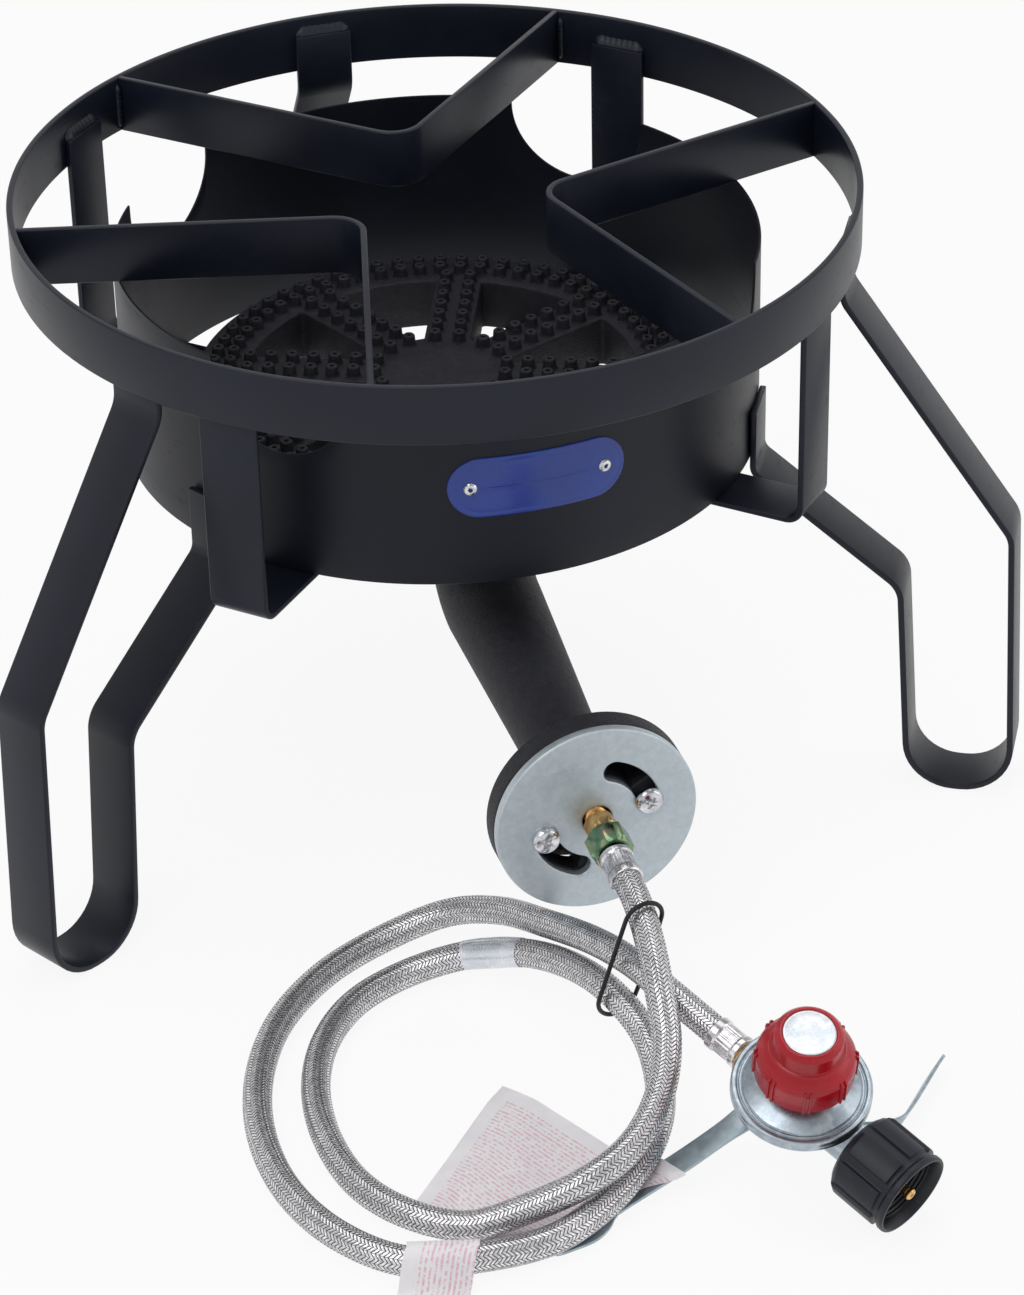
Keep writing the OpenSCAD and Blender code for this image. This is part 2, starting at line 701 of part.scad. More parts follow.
module gas_hose() {
  color([0.7, 0.7, 0.72])
    swept_tube(hose_line, hose_r, hose_sides, [1, 0, 0], hose_out, hose_in);
}

module on_regulator() {
  translate(reg_at) rotate(reg_turn) children();
}

// The tie crosses the three strands where they run together, near one ring of each
tie_r = 1.1;
tie_clear = 1.6;
tie_axis = unit([0.14, -0.98, -0.1]);
tie_mid = [-7, -307, 61];
function across_tie(i) = (hose_line[i] - tie_mid) * tie_axis;
// The place where the strand between two rings crosses the tie's plane
function tie_cross(first, last) = [for (i = [first:last - 1])
  if (across_tie(i) * across_tie(i + 1) <= 0)
    hose_line[i] + (hose_line[i + 1] - hose_line[i]) * across_tie(i) / (across_tie(i) - across_tie(i + 1))][0];
tie_knots = [tie_cross(0, 8), tie_cross(34, 46), tie_cross(72, 82)];
tie_long = unit(cross(tie_axis, [1, 0, 0]));
tie_wide = cross(tie_axis, tie_long);

// Points around the three strands' section: the support of three equal circles
function tie_flat(q) = [(q - tie_mid) * tie_long, (q - tie_mid) * tie_wide];
tie_centres = [for (q = tie_knots) tie_flat(q)];
tie_reach = hose_r + tie_clear + tie_r;
// For each direction the outermost circle, and the place on it
function outermost(d) = let (v = [for (c = tie_centres) c * d], m = max(v))
  tie_centres[search(m, v)[0]];
tie_loop = [for (k = [0:31]) let (d = [cos(k * 11.25), sin(k * 11.25)], f = outermost(d) + tie_reach * d)
  tie_mid + f[0] * tie_long + f[1] * tie_wide];

module closed_loop(p, r, sides, w) {
  m = len(p);
  q = [for (i = [0:m - 1]) let (c = unit(p[(i + 1) % m] - p[(i + m - 1) % m]), n = cross(c, w))
    for (k = [0:sides - 1]) p[i] + r * (cos(360 * k / sides) * n + sin(360 * k / sides) * w)];
  polyhedron(q, concat(
    [for (i = [0:m - 1]) for (k = [0:sides - 1]) let (j = (k + 1) % sides, o = (i + 1) % m)
      [i * sides + k, o * sides + j, o * sides + k]],
    [for (i = [0:m - 1]) for (k = [0:sides - 1]) let (j = (k + 1) % sides, o = (i + 1) % m)
      [i * sides + k, i * sides + j, o * sides + j]]), convexity = 6);
}

module hose_tie() {
  color([0.03, 0.03, 0.03]) closed_loop(tie_loop, tie_r, 6, tie_axis);
}

// A thin sleeve of the hose's own line between two of its rings
module sleeve(first, last, r_in, r_out, sides) {
  line = [for (i = [first:last]) hose_line[i]];
  n = len(line);
  t = tangents(line);
  m = carried(t, 0, [0, 0, 1]);
  rings = [for (i = [0:n - 1]) for (r = [r_in, r_out]) let (b = cross(t[i], m[i]))
    for (k = [0:sides - 1]) line[i] + r * (cos(360 * k / sides) * m[i] + sin(360 * k / sides) * b)];
  w = 2 * sides;
  polyhedron(rings, concat(
    [for (i = [0:n - 2]) for (k = [0:sides - 1]) let (j = (k + 1) % sides)
      each [[i * w + k, (i + 1) * w + j, (i + 1) * w + k], [i * w + k, i * w + j, (i + 1) * w + j]]],
    [for (i = [0:n - 2]) for (k = [0:sides - 1]) let (j = (k + 1) % sides)
      each [[i * w + sides + k, (i + 1) * w + sides + k, (i + 1) * w + sides + j],
            [i * w + sides + k, (i + 1) * w + sides + j, i * w + sides + j]]],
    [for (k = [0:sides - 1]) let (j = (k + 1) % sides)
      each [[k, sides + k, sides + j], [k, sides + j, j]]],
    [for (k = [0:sides - 1]) let (j = (k + 1) % sides, e = (n - 1) * w)
      each [[e + k, e + sides + j, e + sides + k], [e + k, e + j, e + sides + j]]]), convexity = 8);
}

band_t = 0.3;
// Its flats clear the round hose
band_r = (hose_r + 0.05) / cos(15);

module hose_band() {
  color([0.75, 0.75, 0.77]) sleeve(34, 36, band_r, band_r + band_t, 12);
}

// ---- Paper ----

// A sheet over a grid of points: rows of [x, y, z] on its underside
module sheet(rows, t) {
  m = len(rows);
  n = len(rows[0]);
  low = [for (r = rows) for (q = r) q];
  top = [for (q = low) q + [0, 0, t]];
  o = m * n;
  polyhedron(concat(low, top), concat(
    [for (i = [0:m - 2]) for (j = [0:n - 2]) let (a = i * n + j)
      each [[a, a + 1, a + n + 1], [a, a + n + 1, a + n]]],
    [for (i = [0:m - 2]) for (j = [0:n - 2]) let (a = o + i * n + j)
      each [[a, a + n + 1, a + 1], [a, a + n, a + n + 1]]],
    [for (j = [0:n - 2]) each [[j, o + j, o + j + 1], [j, o + j + 1, j + 1]]],
    [for (j = [0:n - 2]) let (a = (m - 1) * n + j)
      each [[a, o + a + 1, o + a], [a, a + 1, o + a + 1]]],
    [for (i = [0:m - 2]) let (a = i * n) each [[a, o + a + n, o + a], [a, a + n, o + a + n]]],
    [for (i = [0:m - 2]) let (a = i * n + n - 1)
      each [[a, o + a, o + a + n], [a, o + a + n, a + n]]]), convexity = 4);
}

paper_t = 0.3;
strip_t = 1.5;
strip_w = 13;
// Four corners of the tag, and the steps of its grid
tag_corners = [[-67, -302], [-137, -377], [-15, -406.5], [-98, -426]];
tag_steps = 14;
// The part of the steel strip that the tag lies on, as places on its lower face
under_tag = [[-80, -420.5, 0], [-66.6, -417.6, 0], [-59.4, -412.6, 0], [-53.7, -405.8, 0],
  [-46, -402, 0.8], [-15.6, -397.6, 11], [8, -394, 20.4]];

// How high one stretch of the strip lifts the tag at a place
function stretch_lift(q, a, b) =
  let (d = [b[0] - a[0], b[1] - a[1]], w = [q[0] - a[0], q[1] - a[1]], t = max(0, min(1, (w * d) / (d * d))),
       away = max(0, norm(w - t * d) - 7.5), s = max(0, 1 - away / 10))
  (a[2] + t * (b[2] - a[2]) + strip_t + 0.4) * s * s * (3 - 2 * s);
function tag_lift(q) = max([for (i = [1:len(under_tag) - 1]) stretch_lift(q, under_tag[i - 1], under_tag[i])]);
// The edge over the strip is curled back between its corner and its middle
function tag_bow(u, v) = v > 0.55 ? 0 : 9 * pow(u, 4) * pow(sin(180 * v / 0.55), 2);

module paper_tag() {
  c = tag_corners;
  color([0.93, 0.9, 0.9]) sheet([for (i = [0:tag_steps]) [for (j = [0:tag_steps])
    let (u = i / tag_steps, v = j / tag_steps,
         q = (1 - u) * (1 - v) * c[0] + (1 - u) * v * c[1] + u * (1 - v) * c[2] + u * v * c[3]
           + tag_bow(u, v) * [-0.15, 0.98])
    [q[0], q[1], tag_lift(q)]]], paper_t);
}

// A flap of paper folded over the outer strand, its front lying on the floor
flag_from = [-150, -417];
flag_to = [-119, -426.9];
flag_steps = 8;
flag_r = hose_r + 1.1;

module hose_flag() {
  along = unit(flag_to - flag_from);
  front = [along[1], -along[0]];
  // Places across the strand: how far in front of its middle line, and how high above it
  cut = [[-10, flag_r * 2 - 17.32], [-flag_r * 0.866, flag_r / 2], [-flag_r / 2, flag_r * 0.866], [0, flag_r],
    [flag_r / 2, flag_r * 0.866], [flag_r * 0.866, flag_r / 2], [10, flag_r * 2 - 17.32], [14.2, -20], [20, -20],
    [31, -20]];
  color([0.93, 0.92, 0.92]) sheet([for (c = cut) [for (j = [0:flag_steps])
    let (w = j / flag_steps, q = (1 - w) * flag_from + w * flag_to + c[0] * front - max(0, c[0]) * 0.3 * along)
    [q[0], q[1], max(0, 8.6 + w + c[1])]]], paper_t);
}

// ---- Regulator, in its own frame: +X runs from the hose to the nut and +Z is the knob's axis ----

reg_x = 52.6;
rim_r = reg_d / 2;
rim_z = 9.2;
rim_t = 4.4;
crimp_t = 1;
bowl_r = rim_r - 6.5;
bowl_low = -13;
boss_z = 9.5;
case_wall = 2.5;
collar_start = ferrule_len;
port_r = 5.5;
dia_t = 0.8;
dia_z = rim_z + 1.8;
knob_high = 55;
knob_low = knob_high - knob_step_h - knob_skirt_h;
knob_wall = 2.2;
neck_r = 14;
neck_top = 37.2;
screw_r = 4;
screw_fit = 0.05;
turn_fit = 0.3;
nut_r = nut_d / 2;
nut_start = reg_len - nut_len;
nipple_r = 7;
nut_wall_at = nut_start + 5;
nut_wall_t = 5;

module along_x(x) {
  translate([x, 0, 0]) rotate([0, 90, 0]) children();
}

module regulator_ferrule() {
  stem = 3;
  color([0.75, 0.75, 0.74]) on_regulator() translate([ferrule_len + stem, 0, 0]) rotate([0, -90, 0])
    ferrule(stem);
}

module outlet_fitting() {
  collar = 8;
  color([0.78, 0.62, 0.3]) on_regulator() along_x(collar_start + 0.4) difference() {
    union() {
      rotate_extrude() polygon([[0, 0], [8.4, 0], [9, 0.5], [9, 1.3], [8.3, 1.7], [7, 1.9], [7, collar],
                                [port_r, collar], [port_r, collar + 8], [0, collar + 8]]);
    }
    translate([0, 0, -1]) cylinder(r = stem_r + 1.4 + 0.05, h = 4);
    translate([0, 0, 1]) cylinder(r = 2.4, h = 30);
  }
}

body_start = collar_start + 0.4 + 8;

module regulator_body() {
  color([0.6, 0.62, 0.64]) on_regulator() difference() {
    union() {
      translate([reg_x, 0, 0]) rotate_extrude($fn = 96) polygon([
        [0, bowl_low], [16.5, bowl_low], [19, bowl_low + 2.5], [bowl_r, rim_z - 2],
        [rim_r - 1.6, rim_z - 1.3], [rim_r - crimp_t, rim_z - 0.8], [rim_r - crimp_t, rim_z + 1.8],
        [0, rim_z + 1.8]]);
      along_x(body_start) cylinder(r = 9.2, h = 26);
      along_x(reg_x) cylinder(r = 9.5, h = 34);
    }
    translate([reg_x, 0, 0]) rotate_extrude($fn = 96) polygon([
      [0, bowl_low + 6], [16.5, bowl_low + 6], [bowl_r - case_wall - 3, rim_z - 9],
      [bowl_r - case_wall - 2, rim_z - 2], [bowl_r - case_wall - 2, rim_z + 5], [0, rim_z + 5]]);
    along_x(body_start - 1) cylinder(r = port_r + screw_fit, h = 16);
    along_x(reg_x) cylinder(r = port_r + screw_fit, h = 60);
    // Hole for the strip's screw
    translate([reg_x, 0, bowl_low - 1] + strip_off) cylinder(r = 2 + screw_fit, h = 5.5);
  }
}

module regulator_bonnet() {
  z0 = dia_z + dia_t;
  color([0.68, 0.69, 0.7]) on_regulator() translate([reg_x, 0, 0]) rotate_extrude($fn = 96)
    polygon([
      [rim_r - 4, z0], [rim_r - crimp_t, z0], [rim_r - crimp_t, rim_z - 1.2],
      [rim_r - 0.3, rim_z - 1.2], [rim_r, rim_z - 0.8], [rim_r, rim_z + rim_t - 0.8],
      [rim_r - 0.6, rim_z + rim_t], [rim_r - 2.6, rim_z + rim_t], [rim_r - 3.2, rim_z + rim_t - 0.9],
      [rim_r - 3.9, rim_z + rim_t - 0.2], [rim_r - 4.7, rim_z + rim_t - 0.2], [rim_r - 5.4, rim_z + rim_t + 0.4],
      [neck_r + 3, rim_z + rim_t + 4.2], [neck_r, rim_z + rim_t + 6.4], [neck_r, neck_top],
      [screw_r + screw_fit, neck_top], [screw_r + screw_fit, neck_top - 5], [neck_r - 2.5, neck_top - 6.5],
      [neck_r - 2.5, rim_z + rim_t + 3.6], [rim_r - 11, rim_z + rim_t + 0.8], [rim_r - 6, rim_z + rim_t - 1.4],
      [rim_r - 6, z0]]);
}

module diaphragm() {
  color([0.07, 0.07, 0.07]) on_regulator() translate([reg_x, 0, dia_z])
    cylinder(r = rim_r - 1.2, h = dia_t, $fn = 96);
}

spring_r = 8;
spring_wire = 0.9;
spring_low = dia_z + dia_t + 1.5;
spring_turns = 4;
spring_pitch = 2.1;
spring_high = spring_low + spring_turns * spring_pitch + 2 * spring_wire;

module spring_plate() {
  color([0.7, 0.7, 0.72]) on_regulator() translate([reg_x, 0, dia_z + dia_t]) {
    cylinder(r = 12, h = 1.5);
    cylinder(r = 4, h = 4);
  }
}

spring_line = [for (k = [0:spring_turns * 24]) let (a = k * 15)
  [spring_r * cos(a), spring_r * sin(a), spring_low + spring_wire + spring_pitch * k / 24]];

module pressure_spring() {
  n = len(spring_line);
  color([0.5, 0.5, 0.52]) on_regulator() translate([reg_x, 0, 0])
    swept_tube(spring_line, spring_wire, 6, [1, 0, 0], [0, 1, 0], [0, 1, 0]);
}

button_t = 2;
screw_lead = 1.25;
screw_turns = 3;
screw_travel = screw_lead * screw_turns;
button_z = spring_high + screw_travel + turn_fit;

module thrust_button() {
  color([0.7, 0.7, 0.72]) on_regulator() translate([reg_x, 0, button_z]) difference() {
    cylinder(r = 9.5, h = button_t);
    translate([0, 0, button_t - 0.8]) cylinder(r = 2.2, h = 2);
  }
}

module pressure_screw() {
  z0 = button_z + button_t - 0.75;
  color([0.7, 0.7, 0.72]) on_regulator() translate([reg_x, 0, z0]) {
    cylinder(r = 2.1, h = 1.2);
    translate([0, 0, 1.2]) cylinder(r = screw_r, h = knob_high - 6 - z0 - 1.2);
  }
}

module regulator_knob() {
  r = knob_d / 2;
  step_r = knob_step_d / 2;
  step_z = knob_low + knob_skirt_h;
  ribs = 8;
  color([0.62, 0.05, 0.09]) on_regulator() translate([reg_x, 0, 0]) {
    rotate_extrude($fn = 96) polygon(concat(
      [[neck_r + 1.6, knob_low + 0.6], [r - knob_wall, knob_low], [r, knob_low]],
      [[r, step_z - 7], [r - 1, step_z - 4.6], [r - 3.2, step_z - 2.2], [step_r + 1.6, step_z],
       [step_r, step_z + 1.6], [step_r - 0.4, knob_high - 2.4], [step_r - 2.4, knob_high],
       [disc_r + 0.05, knob_high], [disc_r + 0.05, knob_high - 0.8], [0, knob_high - 0.8],
       [0, knob_high - 6], [screw_r + screw_fit, knob_high - 6], [screw_r + screw_fit, neck_top + 5.4],
       [neck_r + 1.6, neck_top + 5.4]]));
    for (i = [0:ribs - 1]) rotate([0, 0, i * 360 / ribs]) translate([r - 0.6, -1.8, knob_low])
      difference() {
        cube([1.6, 3.6, knob_skirt_h - 5.4]);
        translate([1, 1.2, -1]) cube([1, 1.2, knob_skirt_h]);
      }
  }
}

disc_r = 12;

module knob_disc() {
  color([0.85, 0.85, 0.85]) on_regulator() translate([reg_x, 0, knob_high - 0.8])
    cylinder(r = disc_r, h = 0.6);
}

module inlet_nipple() {
  x0 = reg_x + 20;
  face = reg_x + 34;
  flange_x = nut_wall_at + nut_wall_t + turn_fit;
  tip = reg_len - 0.4;
  color([0.78, 0.62, 0.3]) on_regulator() rotate([0, 90, 0]) rotate_extrude() polygon([
    [2.2, x0], [port_r, x0], [port_r, face], [nipple_r, face], [nipple_r, flange_x],
    [11, flange_x], [11, flange_x + 3], [8.2, flange_x + 3], [8.2, flange_x + 4.2],
    [7, flange_x + 4.2], [7, flange_x + 6.6], [8.2, flange_x + 6.6], [8.2, flange_x + 8.6],
    [5.4, flange_x + 11.2], [3.6, flange_x + 11.6], [3.6, tip - 9], [4.9, tip - 8.6], [4.9, tip - 6.8],
    [4.5, tip - 6.4], [2.2, tip - 6.4], [2.2, tip - 2.8], [2.9, tip - 2.4], [2.9, tip - 0.8],
    [2.2, tip], [1.1, tip], [1.1, flange_x + 12], [2.2, flange_x + 10]]);
}

module probe_seal() {
  flange_x = nut_wall_at + nut_wall_t + turn_fit;
  color([0.05, 0.05, 0.05]) on_regulator() rotate([0, 90, 0]) rotate_extrude()
    translate([8, flange_x + 5.4]) circle(r = 1, $fn = 24);
}

// A broad lobe between two hollows, short of the nut's mouth
module nut_lobe() {
  intersection() {
    translate([0, 0, 1.2]) cylinder(r1 = nut_r - 1.6, r2 = nut_r, h = 2, $fn = 96);
    translate([0, -6, 0]) cube([nut_r + 1, 12, 4]);
  }
  intersection() {
    translate([0, 0, 3.19]) cylinder(r = nut_r, h = nut_len - 10, $fn = 96);
    translate([0, -6, 3.19]) cube([nut_r + 1, 12, nut_len]);
  }
}

module coupling_nut() {
  lobes = 8;
  wall_z = nut_wall_at - nut_start;
  color([0.04, 0.045, 0.055]) on_regulator() along_x(nut_start) difference() {
    union() {
      cylinder(r1 = nut_r - 3.6, r2 = nut_r - 1.7, h = 4, $fn = 96);
      translate([0, 0, 3.9]) cylinder(r = nut_r - 1.7, h = nut_len - 7.5, $fn = 96);
      translate([0, 0, nut_len - 4.4]) cylinder(r1 = nut_r - 1.7, r2 = nut_r - 0.6, h = 1.4, $fn = 96);
      translate([0, 0, nut_len - 3.1]) cylinder(r = nut_r - 0.6, h = 3.1, $fn = 96);
      for (i = [0:lobes - 1]) rotate([0, 0, (i + 0.5) * 360 / lobes]) nut_lobe();
    }
    translate([0, 0, wall_z + nut_wall_t]) cylinder(r = nut_bore_d / 2, h = nut_len);
    translate([0, 0, nut_len - 4.5]) cylinder(r1 = nut_bore_d / 2, r2 = nut_r - 2.4, h = 4.51);
    translate([0, 0, -1]) cylinder(r = 13, h = wall_z + 1);
    translate([0, 0, -1]) cylinder(r = nipple_r + turn_fit, h = nut_len);
  }
}

// ---- Steel strip ----

// Stations along the strip: the middle of its lower face, half its width, and its turn on edge
strip_off = [-13, -5, 0];
strip_under = [reg_x, 0, bowl_low - strip_t] + strip_off;
function turned(v) = let (cx = cos(reg_turn[0]), sx = sin(reg_turn[0]), cy = cos(reg_turn[1]),
    sy = sin(reg_turn[1]), cz = cos(reg_turn[2]), sz = sin(reg_turn[2]),
    a = [v[0], v[1] * cx - v[2] * sx, v[1] * sx + v[2] * cx],
    b = [a[0] * cy + a[2] * sy, a[1], -a[0] * sy + a[2] * cy])
  [b[0] * cz - b[1] * sz, b[0] * sz + b[1] * cz, b[2]];
strip_hold = reg_at + turned(strip_under);
reg_up = turned([0, 0, 1]);
function flat_step(dx, dy) = [dx, dy, -(reg_up[0] * dx + reg_up[1] * dy) / reg_up[2]];
strip_a = strip_hold + flat_step(-9, -1.4);
strip_b = strip_hold + flat_step(9, 1.4);
strip_h = strip_w / 2;
strip_turn = -65;
strip_knots = [
  [-87.1, -421.8, 0, 1.8, 0], [-86.2, -421.6, 0, 4, 0], [-83.7, -421.1, 0, 6, 0],
  [-78.3, -420.1, 0, strip_h, 0], [-66.6, -417.6, 0, strip_h, 0], [-59.4, -412.6, 0, strip_h, 0],
  [-53.7, -405.8, 0, strip_h, 0], [-46, -402, 0.8, strip_h, 0], [-15.6, -397.6, 11, strip_h, 0],
  [8, -394, 20.4, strip_h, 0], [strip_a[0], strip_a[1], strip_a[2], strip_h, 1],
  [strip_b[0], strip_b[1], strip_b[2], strip_h, 1], [51, -389.5, 20.8, strip_h, 0],
  [62, -392, 13.6, strip_h, -12], [72, -395.5, 10, strip_h, -35], [83, -399, 7.6, strip_h, -56],
  [92, -399, 6.7, strip_h, strip_turn], [99, -393.4, 6.6, strip_h, strip_turn],
  [108, -384, 6.6, strip_h, strip_turn], [118, -373.2, 6.6, strip_h, strip_turn],
  [126, -364.8, 6.6, 6, strip_turn], [128.8, -362.2, 6.6, 4.6, strip_turn], [130, -361.1, 6.6, 2.2, strip_turn]
];
// The small hole near the strip's far end, through its face
strip_hole = [121, -370, 6.9];
hole_side = unit([370 - 393.4, 121 - 99, 0]);
hole_face = -sin(strip_turn) * hole_side + [0, 0, cos(strip_turn)];

module steel_strip() {
  k = strip_knots;
  n = len(k);
  mid = [for (q = k) [q[0], q[1], q[2]]];
  t = tangents(mid);
  // The strip lies level across its length, takes the regulator's tilt, then turns on edge
  q = [for (i = [0:n - 1])
    let (side0 = k[i][4] == 1 ? unit(cross(reg_up, t[i])) : unit(cross([0, 0, 1], t[i])),
         up0 = cross(t[i], side0), a = k[i][4] == 1 ? 0 : k[i][4],
         side = cos(a) * side0 + sin(a) * up0, up = -sin(a) * side0 + cos(a) * up0)
    each [mid[i] - k[i][3] * side, mid[i] + k[i][3] * side,
          mid[i] + k[i][3] * side + strip_t * up, mid[i] - k[i][3] * side + strip_t * up]];
  last = 4 * (n - 1);
  color([0.6, 0.63, 0.66]) difference() {
    polyhedron(q, concat(
      [[0, 1, 2, 3]],
      [for (i = [0:n - 2]) for (j = [0:3]) let (o = (j + 1) % 4)
        each [[4 * i + j, 4 * i + 4 + j, 4 * i + 4 + o], [4 * i + j, 4 * i + 4 + o, 4 * i + o]]],
      [[last + 3, last + 2, last + 1, last]]), convexity = 6);
    on_regulator() translate(strip_under - [0, 0, 1]) cylinder(r = 2 + screw_fit, h = 5);
    translate(strip_hole) rotate([0, acos(hole_face[2]), atan2(hole_face[1], hole_face[0])])
      translate([0, 0, -4]) cylinder(r = 1.5, h = 9, $fn = 20);
  }
}

module strip_screw() {
  color([0.75, 0.76, 0.78]) on_regulator() translate(strip_under) rotate([180, 0, 0]) {
    cylinder(r1 = 4, r2 = 3.2, h = 2.2);
    translate([0, 0, -strip_t - 4]) cylinder(r = 2, h = strip_t + 4 + eps);
  }
}

// ---- Nodes ----

pot_ring();
pot_support(leg_angles[0]);  // pot_support_back
pot_support(leg_angles[1]);  // pot_support_front_left
pot_support(leg_angles[2]);  // pot_support_front_right
leg(leg_angles[0]);  // leg_back
leg(leg_angles[1]);  // leg_front_left
leg(leg_angles[2]);  // leg_front_right
burner_strap();
cross_strap(cross_angle);  // cross_strap_left
cross_strap(cross_angle + 180);  // cross_strap_right
weld_beads();
windshield();
name_plate();
plate_rivets();
burner_casting();
burner_bolt();
burner_washer();
air_shutter();
shutter_screws();
orifice_fitting();
flare_nut();
burner_ferrule();
gas_hose();
regulator_ferrule();
hose_tie();
hose_band();
hose_flag();
paper_tag();
outlet_fitting();
regulator_body();
regulator_bonnet();
diaphragm();
spring_plate();
pressure_spring();
thrust_button();
pressure_screw();
regulator_knob();
knob_disc();
inlet_nipple();
probe_seal();
coupling_nut();
steel_strip();
strip_screw();
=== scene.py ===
"""Dresses the propane burner stand: camera, hose, stand, burner, fittings, regulator, paper and light.

Shapes are written in millimetres and turned into metres where their mesh is made. Every piece is
made in the place where it stands, so each object stays at the origin.
"""

import json
import logging
import math
from dataclasses import dataclass
from enum import Enum
from typing import Callable, Iterable, Optional, Sequence

import bmesh
import bpy
import numpy as np
from mathutils import Euler, Matrix, Vector

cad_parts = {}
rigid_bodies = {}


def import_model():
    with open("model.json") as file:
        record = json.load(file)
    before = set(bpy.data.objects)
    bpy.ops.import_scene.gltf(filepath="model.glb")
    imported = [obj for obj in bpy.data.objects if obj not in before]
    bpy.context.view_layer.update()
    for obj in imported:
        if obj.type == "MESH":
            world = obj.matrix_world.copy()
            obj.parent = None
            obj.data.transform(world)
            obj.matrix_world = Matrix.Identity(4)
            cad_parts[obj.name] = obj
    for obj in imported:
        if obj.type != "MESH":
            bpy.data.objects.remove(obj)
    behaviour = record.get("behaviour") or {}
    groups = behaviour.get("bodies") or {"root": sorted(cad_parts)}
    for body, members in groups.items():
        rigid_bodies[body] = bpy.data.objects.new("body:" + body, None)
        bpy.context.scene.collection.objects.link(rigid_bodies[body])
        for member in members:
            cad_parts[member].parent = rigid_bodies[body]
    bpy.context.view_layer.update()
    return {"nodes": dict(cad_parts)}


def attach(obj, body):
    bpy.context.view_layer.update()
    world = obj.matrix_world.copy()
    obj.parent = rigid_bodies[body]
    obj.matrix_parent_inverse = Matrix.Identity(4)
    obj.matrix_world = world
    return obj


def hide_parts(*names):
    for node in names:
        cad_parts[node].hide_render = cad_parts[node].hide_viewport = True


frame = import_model()
LOG = logging.getLogger("burner_stand")
MM = 0.001
TAU = 2.0 * math.pi
Point = Sequence[float]
Piece = bpy.types.Object
Socket = bpy.types.NodeSocket
Outline = list[tuple[float, float]]
Colour = tuple[float, float, float, float]
Shape = Callable[[float, float, float], float]
Faces = list[tuple[int, ...]]


class Body(str, Enum):
    """The rigid bodies that pieces ride on."""

    STAND = "stand"
    SHUTTER = "shutter"
    ADJUSTER = "adjuster"
    KNOB = "knob"
    COUPLING = "coupling"


# Mesh tools


def unit(v: np.ndarray) -> np.ndarray:
    """Gives the vector scaled to length one."""
    return v / np.linalg.norm(v)


def show(name: str, mesh: bpy.types.Mesh, sharp: float = 0.0) -> Piece:
    """Puts a smooth-shaded mesh into the scene.

    Args:
        name: The piece's name.
        mesh: Its mesh.
        sharp: The angle in degrees over which an edge is shaded sharp, or 0 for none.

    Returns:
        The new object.
    """
    piece = bpy.data.objects.new(name, mesh)
    bpy.context.collection.objects.link(piece)
    mesh.shade_smooth()
    if sharp > 0:
        mesh.set_sharp_from_angle(angle=math.radians(sharp))
    return piece


def add_mesh(name: str, points: np.ndarray, faces: Iterable[Sequence[int]], sharp: float = 32.0) -> Piece:
    """Makes a smooth-shaded object whose creases over an angle stay sharp.

    Args:
        name: The piece's name.
        points: The corners in millimetres, one row each.
        faces: Indices of each face's corners.
        sharp: The angle in degrees over which an edge is shaded sharp.

    Returns:
        The new object, linked into the scene.
    """
    mesh = bpy.data.meshes.new(name)
    mesh.from_pydata((np.asarray(points, float) * MM).tolist(), [], [list(f) for f in faces])
    mesh.validate()
    tidy(mesh)
    return show(name, mesh, sharp)


def tidy(mesh: bpy.types.Mesh, distance: float = 2e-6) -> None:
    """Merges doubled points, closes open ends and turns the faces outwards.

    Args:
        mesh: The mesh to tidy.
        distance: How near two points are merged, in metres.
    """
    bm = bmesh.new()
    bm.from_mesh(mesh)
    bmesh.ops.remove_doubles(bm, verts=bm.verts, dist=distance)
    holes = [e for e in bm.edges if e.is_boundary]
    if holes:
        bmesh.ops.holes_fill(bm, edges=holes, sides=0)
    bmesh.ops.recalc_face_normals(bm, faces=bm.faces)
    bm.to_mesh(mesh)
    bm.free()


def grid_faces(rows: int, cols: int, loop_cols: bool = True, loop_rows: bool = False) -> Faces:
    """Lists the four-cornered faces of a grid of points.

    Args:
        rows: How many rows of points there are.
        cols: How many points a row has.
        loop_cols: Whether each row closes on itself.
        loop_rows: Whether the last row joins the first.

    Returns:
        The faces, each as four indices.
    """
    faces = []
    for i in range(rows if loop_rows else rows - 1):
        a = i * cols
        b = (i + 1) % rows * cols
        for j in range(cols if loop_cols else cols - 1):
            k = (j + 1) % cols
            faces.append((a + j, a + k, b + k, b + j))
    return faces


def capped_faces(rows: int, cols: int) -> Faces:
    """Lists the faces of a sweep of closed rows, with a face over each end."""
    last = range((rows - 1) * cols, rows * cols)
    return grid_faces(rows, cols) + [tuple(range(cols)), tuple(reversed(last))]


def carried_frames(path: np.ndarray, start: Point, first: Optional[Point] = None,
                   last: Optional[Point] = None) -> tuple[np.ndarray, np.ndarray]:
    """Carries a frame along a path without twist.

    Args:
        path: The points of the path.
        start: A direction near which the first normal lies.
        first: The direction at the path's start, where it is fixed.
        last: The direction at its end, where it is fixed.

    Returns:
        Normals and side directions at each point.
    """
    tangents = np.gradient(path, axis=0)
    tangents /= np.linalg.norm(tangents, axis=1)[:, None]
    if first is not None:
        tangents[0] = first
    if last is not None:
        tangents[-1] = last
    normals = np.empty_like(tangents)
    n = np.array(start, float)
    for i, t in enumerate(tangents):
        n = unit(n - n.dot(t) * t)
        normals[i] = n
    return normals, np.cross(tangents, normals)


def spline(before: np.ndarray, a: np.ndarray, b: np.ndarray, after: np.ndarray, t: float) -> np.ndarray:
    """Gives a place on the Catmull-Rom curve from a to b, at a share t of the way."""
    return 0.5 * (2 * a + (b - before) * t + (2 * before - 5 * a + 4 * b - after) * t**2
                  + (3 * a - before - 3 * b + after) * t**3)


